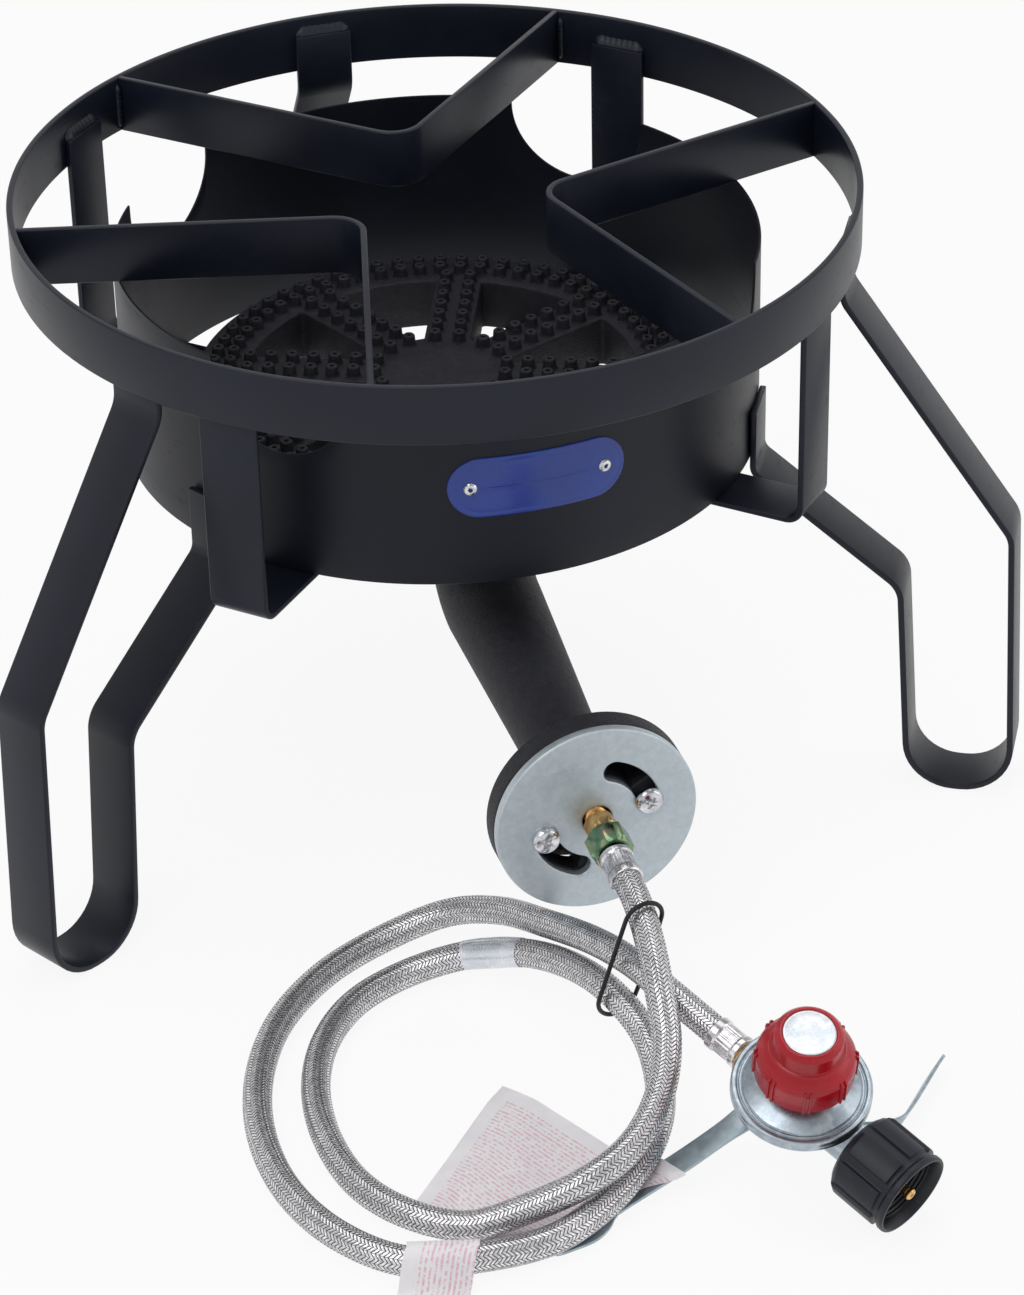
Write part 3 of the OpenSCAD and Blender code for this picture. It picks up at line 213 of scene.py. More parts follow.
def smooth_path(knots: Sequence[Point], parts: int) -> np.ndarray:
    """Runs a Catmull-Rom curve from the second knot to the last but one.

    Args:
        knots: The points, with one extra at each end.
        parts: How many steps to make between two knots.

    Returns:
        The curve's points.
    """
    p = np.array(knots, float)
    out = []
    for i in range(1, len(p) - 2):
        out += [spline(*p[i - 1:i + 3], k / parts) for k in range(parts)]
    out.append(p[-2])
    return np.array(out)


def even_steps(path: np.ndarray, step: float) -> np.ndarray:
    """Gives points along a path at even steps of about the given length.

    Args:
        path: The path's points.
        step: The wanted length of a step.

    Returns:
        The new points, both ends among them.
    """
    run = np.concatenate([[0.0], np.cumsum(np.linalg.norm(np.diff(path, axis=0), axis=1))])
    even = np.linspace(0.0, run[-1], max(2, int(round(run[-1] / step)) + 1))
    return np.stack([np.interp(even, run, path[:, k]) for k in range(3)], axis=1)


def arc(centre: Point, radius: float, start: float, end: float, count: int) -> Outline:
    """Lists points on a flat arc.

    Args:
        centre: The arc's centre.
        radius: Its radius.
        start: Its first angle in degrees.
        end: Its last angle in degrees.
        count: How many points to give.

    Returns:
        The points, both ends among them.
    """
    angles = np.radians(np.linspace(start, end, count))
    return [(centre[0] + radius * math.cos(a), centre[1] + radius * math.sin(a)) for a in angles]


def rounded(corners: Sequence[Point], parts: int = 4, closed: bool = False) -> Outline:
    """Rounds the corners of a flat line.

    Args:
        corners: Each corner's two coordinates and, where it is rounded, its radius.
        parts: How many steps each rounding takes.
        closed: Whether the line is a loop.

    Returns:
        The rounded line.
    """
    pts = [np.array(p[:2], float) for p in corners]
    count = len(pts)
    out: Outline = []
    for i, p in enumerate(pts):
        before, after = pts[i - 1], pts[(i + 1) % count]
        if len(corners[i]) < 3 or (not closed and i in (0, count - 1)):
            out.append((float(p[0]), float(p[1])))
            continue
        u, w = unit(before - p), unit(after - p)
        half = math.acos(float(np.clip(u.dot(w), -1, 1))) / 2
        if half > math.pi / 2 - 0.02:
            out.append((float(p[0]), float(p[1])))
            continue
        room = 0.49 * min(np.linalg.norm(before - p), np.linalg.norm(after - p))
        cut = min(corners[i][2] / math.tan(half), room)
        r = cut * math.tan(half)
        centre = p + unit(u + w) * r / math.sin(half)
        a, b = p + u * cut - centre, p + w * cut - centre
        turn = math.atan2(a[0] * b[1] - a[1] * b[0], a.dot(b))
        base = math.atan2(a[1], a[0])
        for k in range(parts + 1):
            t = base + turn * k / parts
            out.append((float(centre[0] + r * math.cos(t)), float(centre[1] + r * math.sin(t))))
    return out


def spun(x: float, y: float, degrees: float) -> tuple[float, float]:
    """Turns a flat place about the origin."""
    a = math.radians(degrees)
    return (x * math.cos(a) - y * math.sin(a), x * math.sin(a) + y * math.cos(a))


def ends_eased(line: Outline, radius: float) -> list[Point]:
    """Gives both ends of a line a radius for `rounded`."""
    return [(*line[0], radius), *line[1:-1], (*line[-1], radius)]


def turned(name: str, profile: Sequence[Point], segments: int = 96, sharp: float = 32.0,
           shape: Optional[Shape] = None) -> Piece:
    """Turns a profile about the Z axis.

    Args:
        name: The piece's name.
        profile: Radius and height of each point, from one end to the other or round to the first.
        segments: How many steps there are round the axis.
        sharp: The angle in degrees over which an edge is shaded sharp.
        shape: Gives the radius from the profile's radius, the angle and the height, for what isn't round.

    Returns:
        The new object.
    """
    angles = np.linspace(0.0, TAU, segments, endpoint=False)
    rows = []
    for r, z in profile:
        radii = [shape(r, float(a), z) if shape else r for a in angles]
        rows.extend((q * math.cos(a), q * math.sin(a), z) for q, a in zip(radii, angles))
    return add_mesh(name, np.array(rows), grid_faces(len(profile), segments), sharp)


def hexagon(flats: float, turn: float = 0.0) -> Shape:
    """Gives a shape for `turned` that cuts a profile to a hexagon.

    Args:
        flats: The distance between opposite flats.
        turn: The angle of its first corner in degrees.

    Returns:
        The function from radius, angle and height to the cut radius.
    """
    def shape(r: float, a: float, _z: float) -> float:
        """Gives the hexagon's radius at an angle."""
        side = (math.degrees(a) - turn) % 60.0 - 30.0
        return min(r, flats / 2 / math.cos(math.radians(side)))
    return shape


def place(piece: Piece, at: Point = (0, 0, 0), turn: Optional[Matrix] = None) -> Piece:
    """Moves a piece's own points, so that its object stays at the origin.

    Args:
        piece: The piece to move.
        at: Where its origin goes, in millimetres.
        turn: The turn that it is given first.

    Returns:
        The same piece.
    """
    matrix = Matrix.Translation(Vector(at) * MM)
    if turn is not None:
        matrix = matrix @ turn.to_4x4()
    piece.data.transform(matrix)
    return piece


def joined(name: str, pieces: Sequence[Piece], sharp: float = 32.0) -> Piece:
    """Makes one object of several meshes.

    Args:
        name: The new piece's name.
        pieces: The objects that go into it.
        sharp: The angle in degrees over which an edge is shaded sharp.

    Returns:
        The joined object.
    """
    points: list[tuple[float, float, float]] = []
    faces: list[list[int]] = []
    for piece in pieces:
        base = len(points)
        points.extend(tuple(v.co / MM) for v in piece.data.vertices)
        faces.extend([base + i for i in p.vertices] for p in piece.data.polygons)
        mesh = piece.data
        bpy.data.objects.remove(piece)
        bpy.data.meshes.remove(mesh)
    mesh = bpy.data.meshes.new(name)
    mesh.from_pydata((np.array(points) * MM).tolist(), [], faces)
    return show(name, mesh, sharp)


def bar_section(width: float, thick: float, radius: float, parts: int = 3) -> Outline:
    """Gives the outline of flat bar with rounded edges, centred on the origin.

    Args:
        width: The bar's width, along x.
        thick: Its thickness, along y.
        radius: The radius of its edges.
        parts: Steps round each edge.

    Returns:
        The outline.
    """
    x, y = width / 2 - radius, thick / 2 - radius
    out: Outline = []
    for cx, cy, a in ((x, y, 0), (-x, y, 90), (-x, -y, 180), (x, -y, 270)):
        out += arc((cx, cy), radius, a, a + 90, parts + 1)
    return out


def swept_bar(name: str, path: np.ndarray, section: Sequence[Point], side: Callable[[int, np.ndarray], Point],
              ease: float = 0.5) -> Piece:
    """Sweeps a flat section along a path.

    Args:
        name: The piece's name.
        path: The points that the section's centre follows.
        section: The section's outline: first across, then through the thickness.
        side: Gives the direction of the section's width from the point's index and tangent.
        ease: How far the ends' edges are rounded.

    Returns:
        The new object, with closed ends.
    """
    path = np.array(path, float)
    flat = np.array(section, float)
    wide, thick = np.ptp(flat[:, 0]) / 2, np.ptp(flat[:, 1]) / 2
    small = flat * [(wide - ease) / wide, (thick - ease) / thick]
    mid = flat * [(wide - 0.3 * ease) / wide, (thick - 0.3 * ease) / thick]
    start, end = unit(path[1] - path[0]), unit(path[-1] - path[-2])
    head, tail = path[0], path[-1]
    stations = [(head, small, 0), (head + start * ease * 0.3, mid, 0), (head + start * ease, flat, 0)]
    stations += [(p, flat, i) for i, p in enumerate(path) if 0 < i < len(path) - 1]
    last = len(path) - 1
    stations += [(tail - end * ease, flat, last), (tail - end * ease * 0.3, mid, last), (tail, small, last)]
    steps = np.gradient(path, axis=0)
    rows = []
    for p, outline, i in stations:
        t = unit(steps[i])
        w = np.array(side(i, t), float)
        w = unit(w - w.dot(t) * t)
        n = np.cross(w, t)
        rows.extend(p + x * w + y * n for x, y in outline)
    return add_mesh(name, np.array(rows), capped_faces(len(stations), len(section)))


def plate(name: str, outline: Sequence[Point], holes: Sequence[Sequence[Point]], low: float, high: float,
          edge: float, steps: int = 2) -> Piece:
    """Makes a flat plate with holes and rounded edges.

    Args:
        name: The piece's name.
        outline: The outer edge.
        holes: The edges of its holes.
        low: Its lower level.
        high: Its upper level.
        edge: The radius of its edges.
        steps: How many steps each edge's rounding takes.

    Returns:
        The new object.
    """
    curve = bpy.data.curves.new(name, "CURVE")
    curve.dimensions = "2D"
    curve.fill_mode = "BOTH"
    for ring in [outline, *holes]:
        line = curve.splines.new("POLY")
        line.points.add(len(ring) - 1)
        line.points.foreach_set("co", [c for x, y in ring for c in (x * MM, y * MM, 0.0, 1.0)])
        line.use_cyclic_u = True
    curve.extrude = ((high - low) / 2 - edge) * MM
    curve.bevel_depth = edge * MM
    curve.bevel_resolution = steps
    curve.offset = -edge * MM
    holder = bpy.data.objects.new(name, curve)
    bpy.context.collection.objects.link(holder)
    bpy.context.view_layer.update()
    mesh = bpy.data.meshes.new_from_object(holder.evaluated_get(bpy.context.evaluated_depsgraph_get()))
    bpy.data.objects.remove(holder)
    bpy.data.curves.remove(curve)
    mesh.name = name
    mesh.materials.clear()
    mesh.transform(Matrix.Translation((0, 0, (high + low) / 2 * MM)))
    tidy(mesh)
    return show(name, mesh, 32.0)


def ring_tube(name: str, path: np.ndarray, radius: float, sides: int = 16, start: Point = (0, 0, 1),
              closed: bool = False) -> Piece:
    """Sweeps a round section along a path.

    Args:
        name: The piece's name.
        path: The points of the path.
        radius: The section's radius.
        sides: How many sides the section has.
        start: A direction near which the first normal lies.
        closed: Whether the path is a loop.

    Returns:
        The new object.
    """
    if closed:
        path = np.concatenate([path[-1:], path, path[:2]])
    normals, across = carried_frames(path, start)
    if closed:
        path, normals, across = path[1:-2], normals[1:-2], across[1:-2]
    angles = np.linspace(0.0, TAU, sides, endpoint=False)
    cos, sin = np.cos(angles)[:, None], np.sin(angles)[:, None]
    rows = [p + radius * (cos * n + sin * w) for p, n, w in zip(path, normals, across)]
    return add_mesh(name, np.concatenate(rows), grid_faces(len(path), sides, True, closed), 50)


# Finishes



def srgb(red: int, green: int, blue: int) -> Colour:
    """Turns a screen colour into a linear one.

    Args:
        red: Red, from 0 to 255.
        green: Green, from 0 to 255.
        blue: Blue, from 0 to 255.

    Returns:
        The linear colour, with full alpha.
    """
    def linear(c: float) -> float:
        """Turns one channel, from 0 to 255, into a linear value."""
        c /= 255.0
        return c / 12.92 if c <= 0.04045 else ((c + 0.055) / 1.055) ** 2.4
    return (linear(red), linear(green), linear(blue), 1.0)


class Effect(str, Enum):
    """The shared surface effects, each a node group."""

    COAT = "coated_skin"
    CAST = "cast_skin"
    PLATED = "plated_skin"
    TURNED = "turned_skin"
    BRAID = "wire_braid"
    PAPER = "paper_skin"


class Nodes:
    """Adds shader nodes to a tree and links them."""

    def __init__(self, tree: bpy.types.NodeTree) -> None:
        """Starts at the left of a tree.

        Args:
            tree: The tree that the nodes go into.
        """
        self.tree = tree
        self.x = 0.0

    def add(self, kind: str, inputs: Optional[dict] = None, **settings: object) -> bpy.types.Node:
        """Adds one node.

        Args:
            kind: The node's type.
            inputs: Sockets to link from or values to set, by the input's name or number.
            **settings: The node's own settings.

        Returns:
            The new node.
        """
        node = self.tree.nodes.new(kind)
        for key, value in settings.items():
            setattr(node, key, value)
        for key, value in (inputs or {}).items():
            if isinstance(value, bpy.types.NodeSocket):
                self.tree.links.new(value, node.inputs[key])
            else:
                node.inputs[key].default_value = value
        node.location = (self.x, 0.0)
        self.x += 190.0
        return node

    def math(self, operation: str, a: object, b: object = 0.0, clamp: bool = False) -> Socket:
        """Adds a Math node and gives its result."""
        given = {0: a, 1: b, 2: 0.0}
        return self.add("ShaderNodeMath", given, operation=operation, use_clamp=clamp).outputs[0]

    def times(self, a: object, b: object) -> Socket:
        """Multiplies two values."""
        return self.math("MULTIPLY", a, b)

    def plus(self, a: object, b: object, clamp: bool = False) -> Socket:
        """Adds two values."""
        return self.math("ADD", a, b, clamp=clamp)

    def less(self, a: object, b: object) -> Socket:
        """Takes the second value from the first."""
        return self.math("SUBTRACT", a, b)

    def mix(self, factor: object, a: object, b: object, blend: str = "MIX") -> Socket:
        """Mixes two colours."""
        node = self.add("ShaderNodeMix", {0: factor, 6: a, 7: b}, data_type="RGBA", blend_type=blend)
        return node.outputs[2]

    def remap(self, value: object, low: float, high: float, to_low: object = 0.0,
              to_high: object = 1.0) -> Socket:
        """Maps a value smoothly from one range to another and holds it there."""
        return self.add("ShaderNodeMapRange", {0: value, 1: low, 2: high, 3: to_low, 4: to_high},
                        interpolation_type="SMOOTHSTEP").outputs[0]

    def noise(self, vector: object, scale: object, detail: float = 2.0, rough: float = 0.5) -> Socket:
        """Adds a noise texture and gives its value."""
        return self.add("ShaderNodeTexNoise", {"Vector": vector, "Scale": scale, "Detail": detail,
                                               "Roughness": rough}).outputs[0]

    def scaled(self, vector: object, by: Point) -> Socket:
        """Stretches a vector by a factor on each axis."""
        return self.add("ShaderNodeVectorMath", {0: vector, 1: tuple(by)}, operation="MULTIPLY").outputs[0]


COLOUR, VALUE = "NodeSocketColor", "NodeSocketFloat"
EFFECT_INPUTS = (("Light", COLOUR), ("Dark", COLOUR), ("Tint", COLOUR), ("Scale", VALUE),
                 ("Rough Low", VALUE), ("Rough High", VALUE))
EFFECT_OUTPUTS = (("Color", COLOUR), ("Roughness", VALUE), ("Height", VALUE))


def start_group(effect: Effect) -> tuple[bpy.types.NodeTree, Nodes, dict[str, Socket]]:
    """Makes an empty effect group with the inputs and outputs that all of them share.

    Args:
        effect: Which effect it is.

    Returns:
        The group, its node adder and its inputs by name.
    """
    tree = bpy.data.node_groups.new(effect.value, "ShaderNodeTree")
    for name, kind in EFFECT_INPUTS:
        tree.interface.new_socket(name, in_out="INPUT", socket_type=kind)
    for name, kind in EFFECT_OUTPUTS:
        tree.interface.new_socket(name, in_out="OUTPUT", socket_type=kind)
    nodes = Nodes(tree)
    given = nodes.add("NodeGroupInput").outputs
    return tree, nodes, {name: given[name] for name, _ in EFFECT_INPUTS}


def end_group(nodes: Nodes, colour: object, rough: object, height: object) -> None:
    """Links an effect group's three outputs."""
    nodes.add("NodeGroupOutput", {0: colour, 1: rough, 2: height})


def object_space(nodes: Nodes) -> Socket:
    """Gives coordinates that stay with the piece, in millimetres."""
    vector = nodes.add("ShaderNodeTexCoord").outputs["Object"]
    return nodes.scaled(vector, (1000.0, 1000.0, 1000.0))


def coated_skin() -> bpy.types.NodeTree:
    """Powder coat, enamel and moulded plastic: soft clouds, orange peel, specks and fine rubs.

    Returns:
        The node group.
    """
    tree, n, given = start_group(Effect.COAT)
    p = object_space(n)
    cloud = n.noise(p, 0.018, 3.0, 0.6)
    peel = n.noise(p, given["Scale"], 1.5, 0.45)
    grit = n.noise(p, n.times(given["Scale"], 3.7), 1.0, 0.5)
    specks = n.remap(n.noise(p, n.times(given["Scale"], 1.9), 3.0, 0.7), 0.66, 0.74)
    rubs = n.remap(n.noise(n.scaled(p, (0.5, 0.06, 0.9)), 0.5, 4.0, 0.65), 0.56, 0.72)
    colour = n.mix(n.remap(cloud, 0.3, 0.7), given["Dark"], given["Light"])
    colour = n.mix(n.times(specks, 0.35), colour, given["Tint"])
    colour = n.mix(n.times(rubs, 0.12), colour, given["Tint"])
    wear = n.plus(n.times(cloud, 0.6), n.times(rubs, 0.4), clamp=True)
    rough = n.remap(wear, 0.15, 0.75, given["Rough Low"], given["Rough High"])
    height = n.plus(peel, n.times(grit, 0.25))
    end_group(n, colour, rough, height)
    return tree


def cast_skin() -> bpy.types.NodeTree:
    """Sand-cast iron: coarse grain over low lumps, with dark pits and painted highlight specks.

    Returns:
        The node group.
    """
    tree, n, given = start_group(Effect.CAST)
    p = object_space(n)
    scale = given["Scale"]
    lumps = n.noise(p, n.times(scale, 0.12), 3.0, 0.6)
    grain = n.noise(p, scale, 3.0, 0.7)
    cells = n.add("ShaderNodeTexVoronoi", {"Vector": p, "Scale": n.times(scale, 0.8)}).outputs["Distance"]
    # Painted highlights: light specks mixed into the colour in place of real highlights.
    painted_glint = n.remap(n.noise(p, n.times(scale, 1.4), 2.0, 0.8), 0.64, 0.72)
    colour = n.mix(n.remap(n.plus(n.times(grain, 0.7), n.times(lumps, 0.3)), 0.35, 0.65),
                   given["Dark"], given["Light"])
    colour = n.mix(n.times(painted_glint, 0.5), colour, given["Tint"])
    rough = n.remap(grain, 0.3, 0.7, given["Rough Low"], given["Rough High"])
    height = n.plus(n.times(grain, 0.7),
                    n.plus(n.times(cells, 0.5), n.times(lumps, 1.2)))
    end_group(n, colour, rough, height)
    return tree


def plated_skin() -> bpy.types.NodeTree:
    """Zinc and nickel plate: cloudy passivation, fine tumbling marks and a few scratches.

    Returns:
        The node group.
    """
    tree, n, given = start_group(Effect.PLATED)
    p = object_space(n)
    scale = given["Scale"]
    cloud = n.noise(p, n.times(scale, 0.1), 4.0, 0.65)
    grain = n.noise(p, scale, 3.0, 0.7)
    marks = n.remap(n.noise(n.scaled(p, (2.2, 0.1, 1.4)), n.times(scale, 0.45), 4.0, 0.7), 0.6, 0.68)
    colour = n.mix(n.remap(cloud, 0.32, 0.68), given["Dark"], given["Light"])
    patches = n.remap(n.noise(p, n.times(scale, 0.23), 2.0, 0.5), 0.5, 0.68)
    colour = n.mix(n.times(patches, 0.6), colour, given["Tint"])
    colour = n.mix(n.times(grain, 0.25), colour, given["Dark"])
    rough = n.remap(n.plus(n.times(grain, 0.55), n.times(cloud, 0.45)), 0.3, 0.7,
                    given["Rough Low"], given["Rough High"])
    height = n.less(grain, n.times(marks, 0.6))
    end_group(n, colour, rough, height)
    return tree


def turned_skin() -> bpy.types.NodeTree:
    """Turned brass and steel: fine tool lines across the part's length, and a little tarnish.

    Returns:
        The node group.
    """
    tree, n, given = start_group(Effect.TURNED)
    p = object_space(n)
    scale = given["Scale"]
    along = (0.35, -0.92, -0.2)
    length = n.add("ShaderNodeVectorMath", {0: p, 1: along}, operation="DOT_PRODUCT").outputs["Value"]
    lines = n.add("ShaderNodeTexNoise", {"W": n.times(length, n.times(scale, 2.0)),
                                         "Scale": 1.0, "Detail": 3.0}, noise_dimensions="1D").outputs[0]
    cloud = n.noise(p, n.times(scale, 0.12), 3.0, 0.6)
    colour = n.mix(n.remap(cloud, 0.35, 0.65), given["Dark"], given["Light"])
    colour = n.mix(n.times(n.remap(lines, 0.5, 0.75), 0.3), colour, given["Tint"])
    rough = n.remap(n.plus(n.times(lines, 0.6), n.times(cloud, 0.4)), 0.3, 0.7,
                    given["Rough Low"], given["Rough High"])
    end_group(n, colour, rough, lines)
    return tree


BRAID_COLUMNS = 18
BRAID_PITCH = 2.0
BRAID_LEAN = 1.1


def wire_braid() -> bpy.types.NodeTree:
    """Braided steel wire, with painted shade in its creases, from UVs that count its columns round the hose
    and its strands along it.

    Returns:
        The node group.
    """
    tree, n, given = start_group(Effect.BRAID)
    parts = n.add("ShaderNodeSeparateXYZ", {0: n.add("ShaderNodeTexCoord").outputs["UV"]})
    u, v = parts.outputs[0], parts.outputs[1]
    column = n.math("FLOOR", u)
    across = n.less(u, column)
    side = n.less(1.0, n.times(n.math("FLOORED_MODULO", column, 2.0), 2.0))
    lean = n.times(n.less(across, 0.5), BRAID_LEAN)
    phase = n.plus(v, n.times(side, lean))
    strand = n.math("ABSOLUTE", n.less(n.times(n.math("FRACT", phase), 2.0), 1.0))
    edge = n.math("ABSOLUTE", n.less(n.times(across, 2.0), 1.0))
    wires = n.math("ABSOLUTE", n.math("SINE", n.times(phase, 4.0 * math.pi)))
    top = n.math("SQRT", n.less(1.0, n.times(n.math("POWER", strand, 2.0), 0.96)))
    dip = n.less(1.0, n.times(n.math("POWER", edge, 4.0), 0.55))
    # Painted shade: this mask darkens the colour where strands cross and where columns meet, and raises the
    # roughness there.
    gap = n.math("MAXIMUM", n.remap(strand, 0.5, 0.95), n.times(n.remap(edge, 0.8, 1.0), 0.6))
    dull = n.noise(object_space(n), given["Scale"], 3.0, 0.6)
    bright = n.mix(n.remap(dull, 0.35, 0.65), given["Tint"], given["Light"])
    # Painted shade: the grooves between a strand's wires are darkened a little.
    bright = n.mix(n.times(n.less(1.0, wires), 0.12), bright, given["Dark"])
    colour = n.mix(gap, bright, given["Dark"])
    rough = n.remap(n.plus(gap, n.times(dull, 0.2)), 0.1, 1.0,
                    given["Rough Low"], given["Rough High"])
    height = n.plus(n.times(top, dip), n.times(wires, 0.06))
    end_group(n, colour, rough, height)
    return tree


def paper_skin() -> bpy.types.NodeTree:
    """Thin coated paper: fibres, soft creases with painted shade in their hollows, and faint pink ruling from
    UVs in millimetres.

    Returns:
        The node group.
    """
    tree, n, given = start_group(Effect.PAPER)
    p = object_space(n)
    parts = n.add("ShaderNodeSeparateXYZ", {0: n.add("ShaderNodeTexCoord").outputs["UV"]})
    rows = n.math("FRACT", n.times(parts.outputs[1], given["Scale"]))
    line = n.remap(n.math("ABSOLUTE", n.less(rows, 0.5)), 0.16, 0.28, 1.0, 0.0)
    broken = n.remap(n.noise(n.scaled(p, (0.6, 0.6, 0.6)), 1.0, 2.0, 0.6), 0.4, 0.56)
    inside = n.times(n.remap(parts.outputs[0], 6.0, 7.0), n.remap(parts.outputs[1], 6.0, 7.0))
    print_mask = n.times(n.times(line, broken), inside)
    fibres = n.noise(n.scaled(p, (1.0, 3.0, 1.0)), 2.5, 4.0, 0.7)
    # The crease noise gives the relief and also paints its hollows a little darker: painted shade.
    creases = n.noise(p, 0.05, 3.0, 0.55)
    colour = n.mix(n.remap(creases, 0.3, 0.7), given["Dark"], given["Light"])
    colour = n.mix(n.times(print_mask, 0.55), colour, given["Tint"])
    rough = n.remap(fibres, 0.3, 0.7, given["Rough Low"], given["Rough High"])
    height = n.plus(n.times(fibres, 0.2), n.times(creases, 2.0))
    end_group(n, colour, rough, height)
    return tree


EFFECTS: dict[Effect, Callable[[], bpy.types.NodeTree]] = {
    Effect.COAT: coated_skin, Effect.CAST: cast_skin, Effect.PLATED: plated_skin,
    Effect.TURNED: turned_skin, Effect.BRAID: wire_braid, Effect.PAPER: paper_skin,
}


@dataclass(frozen=True)
class Finish:
    """A finish: an effect with its colours, and the shader's own constants.

    Args:
        slot: The record's material slot, after which the material is named.
        effect: The surface effect.
        light: The effect's lighter colour, as a screen colour.
        dark: Its darker colour.
        tint: Its third colour, for specks, patches or ruling.
        scale: The effect's grain, per millimetre.
        rough: The lowest and highest roughness.
        bump: How deep the relief is, in millimetres.
        metallic: Whether it is metal.
        specular: The strength of reflection on what isn't metal.
        coat: The weight of the clear coat.
        coat_rough: The clear coat's roughness.
    """

    slot: str
    effect: Effect
    light: tuple[int, int, int]
    dark: tuple[int, int, int]
    tint: tuple[int, int, int]
    scale: float
    rough: tuple[float, float]
    bump: float
    metallic: float = 0.0
    specular: float = 0.5
    coat: float = 0.0
    coat_rough: float = 0.15

    def material(self) -> bpy.types.Material:
        """Makes the material, or gives the one made before.

        Returns:
            The material.
        """
        name = f"{self.slot}_finish"
        known = bpy.data.materials.get(name)
        if known is not None:
            return known
        material = bpy.data.materials.new(name)
        material.use_nodes = True
        material.node_tree.nodes.clear()
        nodes = Nodes(material.node_tree)
        group = bpy.data.node_groups.get(self.effect.value) or EFFECTS[self.effect]()
        skin = nodes.add("ShaderNodeGroup", node_tree=group)
        values = (srgb(*self.light), srgb(*self.dark), srgb(*self.tint), self.scale, *self.rough)
        for (name, _), value in zip(EFFECT_INPUTS, values):
            skin.inputs[name].default_value = value
        bump = nodes.add("ShaderNodeBump", {"Height": skin.outputs["Height"], "Distance": self.bump * MM,
                                            "Strength": 1.0})
        shader = nodes.add("ShaderNodeBsdfPrincipled", {
            "Base Color": skin.outputs["Color"], "Roughness": skin.outputs["Roughness"],
            "Normal": bump.outputs["Normal"], "Metallic": self.metallic, "Specular IOR Level": self.specular,
            "Coat Weight": self.coat, "Coat Roughness": self.coat_rough})
        nodes.add("ShaderNodeOutputMaterial", {"Surface": shader.outputs["BSDF"]})
        return material


FINISHES: dict[str, Finish] = {f.slot: f for f in (
    Finish("stand_coat", Effect.COAT, (24, 28, 42), (18, 22, 34), (48, 54, 72), 1.5, (0.36, 0.48), 0.03,
           specular=0.3),
    Finish("weld", Effect.COAT, (25, 29, 42), (18, 21, 31), (54, 60, 78), 2.2, (0.34, 0.5), 0.06,
           specular=0.34),
    Finish("shield_coat", Effect.COAT, (20, 23, 35), (15, 18, 28), (40, 45, 60), 1.7, (0.42, 0.54), 0.02,
           specular=0.26),
    Finish("plate_enamel", Effect.COAT, (22, 62, 158), (16, 50, 140), (56, 96, 178), 0.9, (0.22, 0.34),
           0.012, specular=0.4, coat=0.3, coat_rough=0.15),
    Finish("rivet", Effect.PLATED, (226, 227, 230), (180, 183, 188), (240, 240, 242), 3.0, (0.14, 0.28),
           0.01, metallic=1.0),
    # The casting's tint is the colour of its painted highlight specks.
    Finish("casting", Effect.CAST, (38, 39, 50), (10, 10, 15), (128, 124, 130), 1.7, (0.42, 0.74), 0.6,
           specular=0.42),
    Finish("screw_zinc", Effect.PLATED, (226, 228, 232), (170, 172, 180), (244, 240, 236), 0.9, (0.06,
           0.16), 0.006, metallic=1.0),
    Finish("shutter_zinc", Effect.PLATED, (198, 208, 214), (187, 198, 205), (206, 213, 217), 1.9, (0.4,
           0.5), 0.012, metallic=0.75),
    Finish("brass", Effect.TURNED, (226, 186, 122), (180, 132, 76), (246, 220, 166), 1.4, (0.14, 0.3), 0.03,
           metallic=1.0),
    Finish("yellow_zinc", Effect.PLATED, (150, 172, 132), (70, 124, 100), (214, 168, 146), 0.7, (0.14,
           0.24), 0.01, metallic=1.0),
    Finish("ferrule_steel", Effect.TURNED, (236, 234, 236), (176, 174, 178), (250, 248, 248), 1.2, (0.12,
           0.26), 0.03, metallic=1.0),
    # The braid's dark colour is the painted shade in its creases and grooves.
    Finish("braid", Effect.BRAID, (250, 249, 251), (40, 38, 41), (210, 208, 212), 0.4, (0.2, 0.6), 0.34,
           metallic=0.88),
    Finish("tie", Effect.COAT, (22, 22, 24), (13, 13, 14), (44, 44, 48), 3.0, (0.4, 0.55), 0.03,
           specular=0.4),
    # The paper's dark colour is painted shade in the hollows of its creases; its tint is the ruling's print.
    Finish("paper", Effect.PAPER, (255, 253, 255), (246, 242, 248), (228, 140, 158), 0.42, (0.36, 0.5),
           0.03, specular=0.5),
    Finish("band_foil", Effect.PLATED, (240, 243, 248), (218, 224, 232), (250, 248, 250), 0.8, (0.22, 0.34),
           0.01, metallic=0.6),
    Finish("regulator_zinc", Effect.PLATED, (186, 197, 206), (150, 161, 170), (206, 214, 220), 1.0, (0.26,
           0.38), 0.02, metallic=0.95),
    Finish("rubber", Effect.COAT, (24, 24, 26), (14, 14, 15), (48, 48, 50), 2.0, (0.5, 0.65), 0.03,
           specular=0.35),
    Finish("inner_steel", Effect.PLATED, (176, 178, 182), (132, 134, 140), (196, 198, 200), 1.4, (0.28,
           0.45), 0.02, metallic=1.0),
    Finish("knob_red", Effect.COAT, (190, 6, 32), (168, 4, 24), (224, 70, 92), 0.8, (0.24, 0.36), 0.016,
           specular=0.42, coat=0.08, coat_rough=0.2),
    Finish("knob_foil", Effect.PLATED, (232, 234, 237), (196, 203, 210), (246, 246, 246), 0.6, (0.24, 0.38),
           0.008, metallic=0.7),
    Finish("nut_black", Effect.COAT, (32, 36, 46), (23, 26, 35), (106, 112, 126), 1.3, (0.38, 0.54), 0.06,
           specular=0.36),
    Finish("strip_zinc", Effect.PLATED, (176, 190, 198), (156, 171, 180), (196, 207, 212), 1.0, (0.3, 0.44),
           0.012, metallic=0.85),
)}


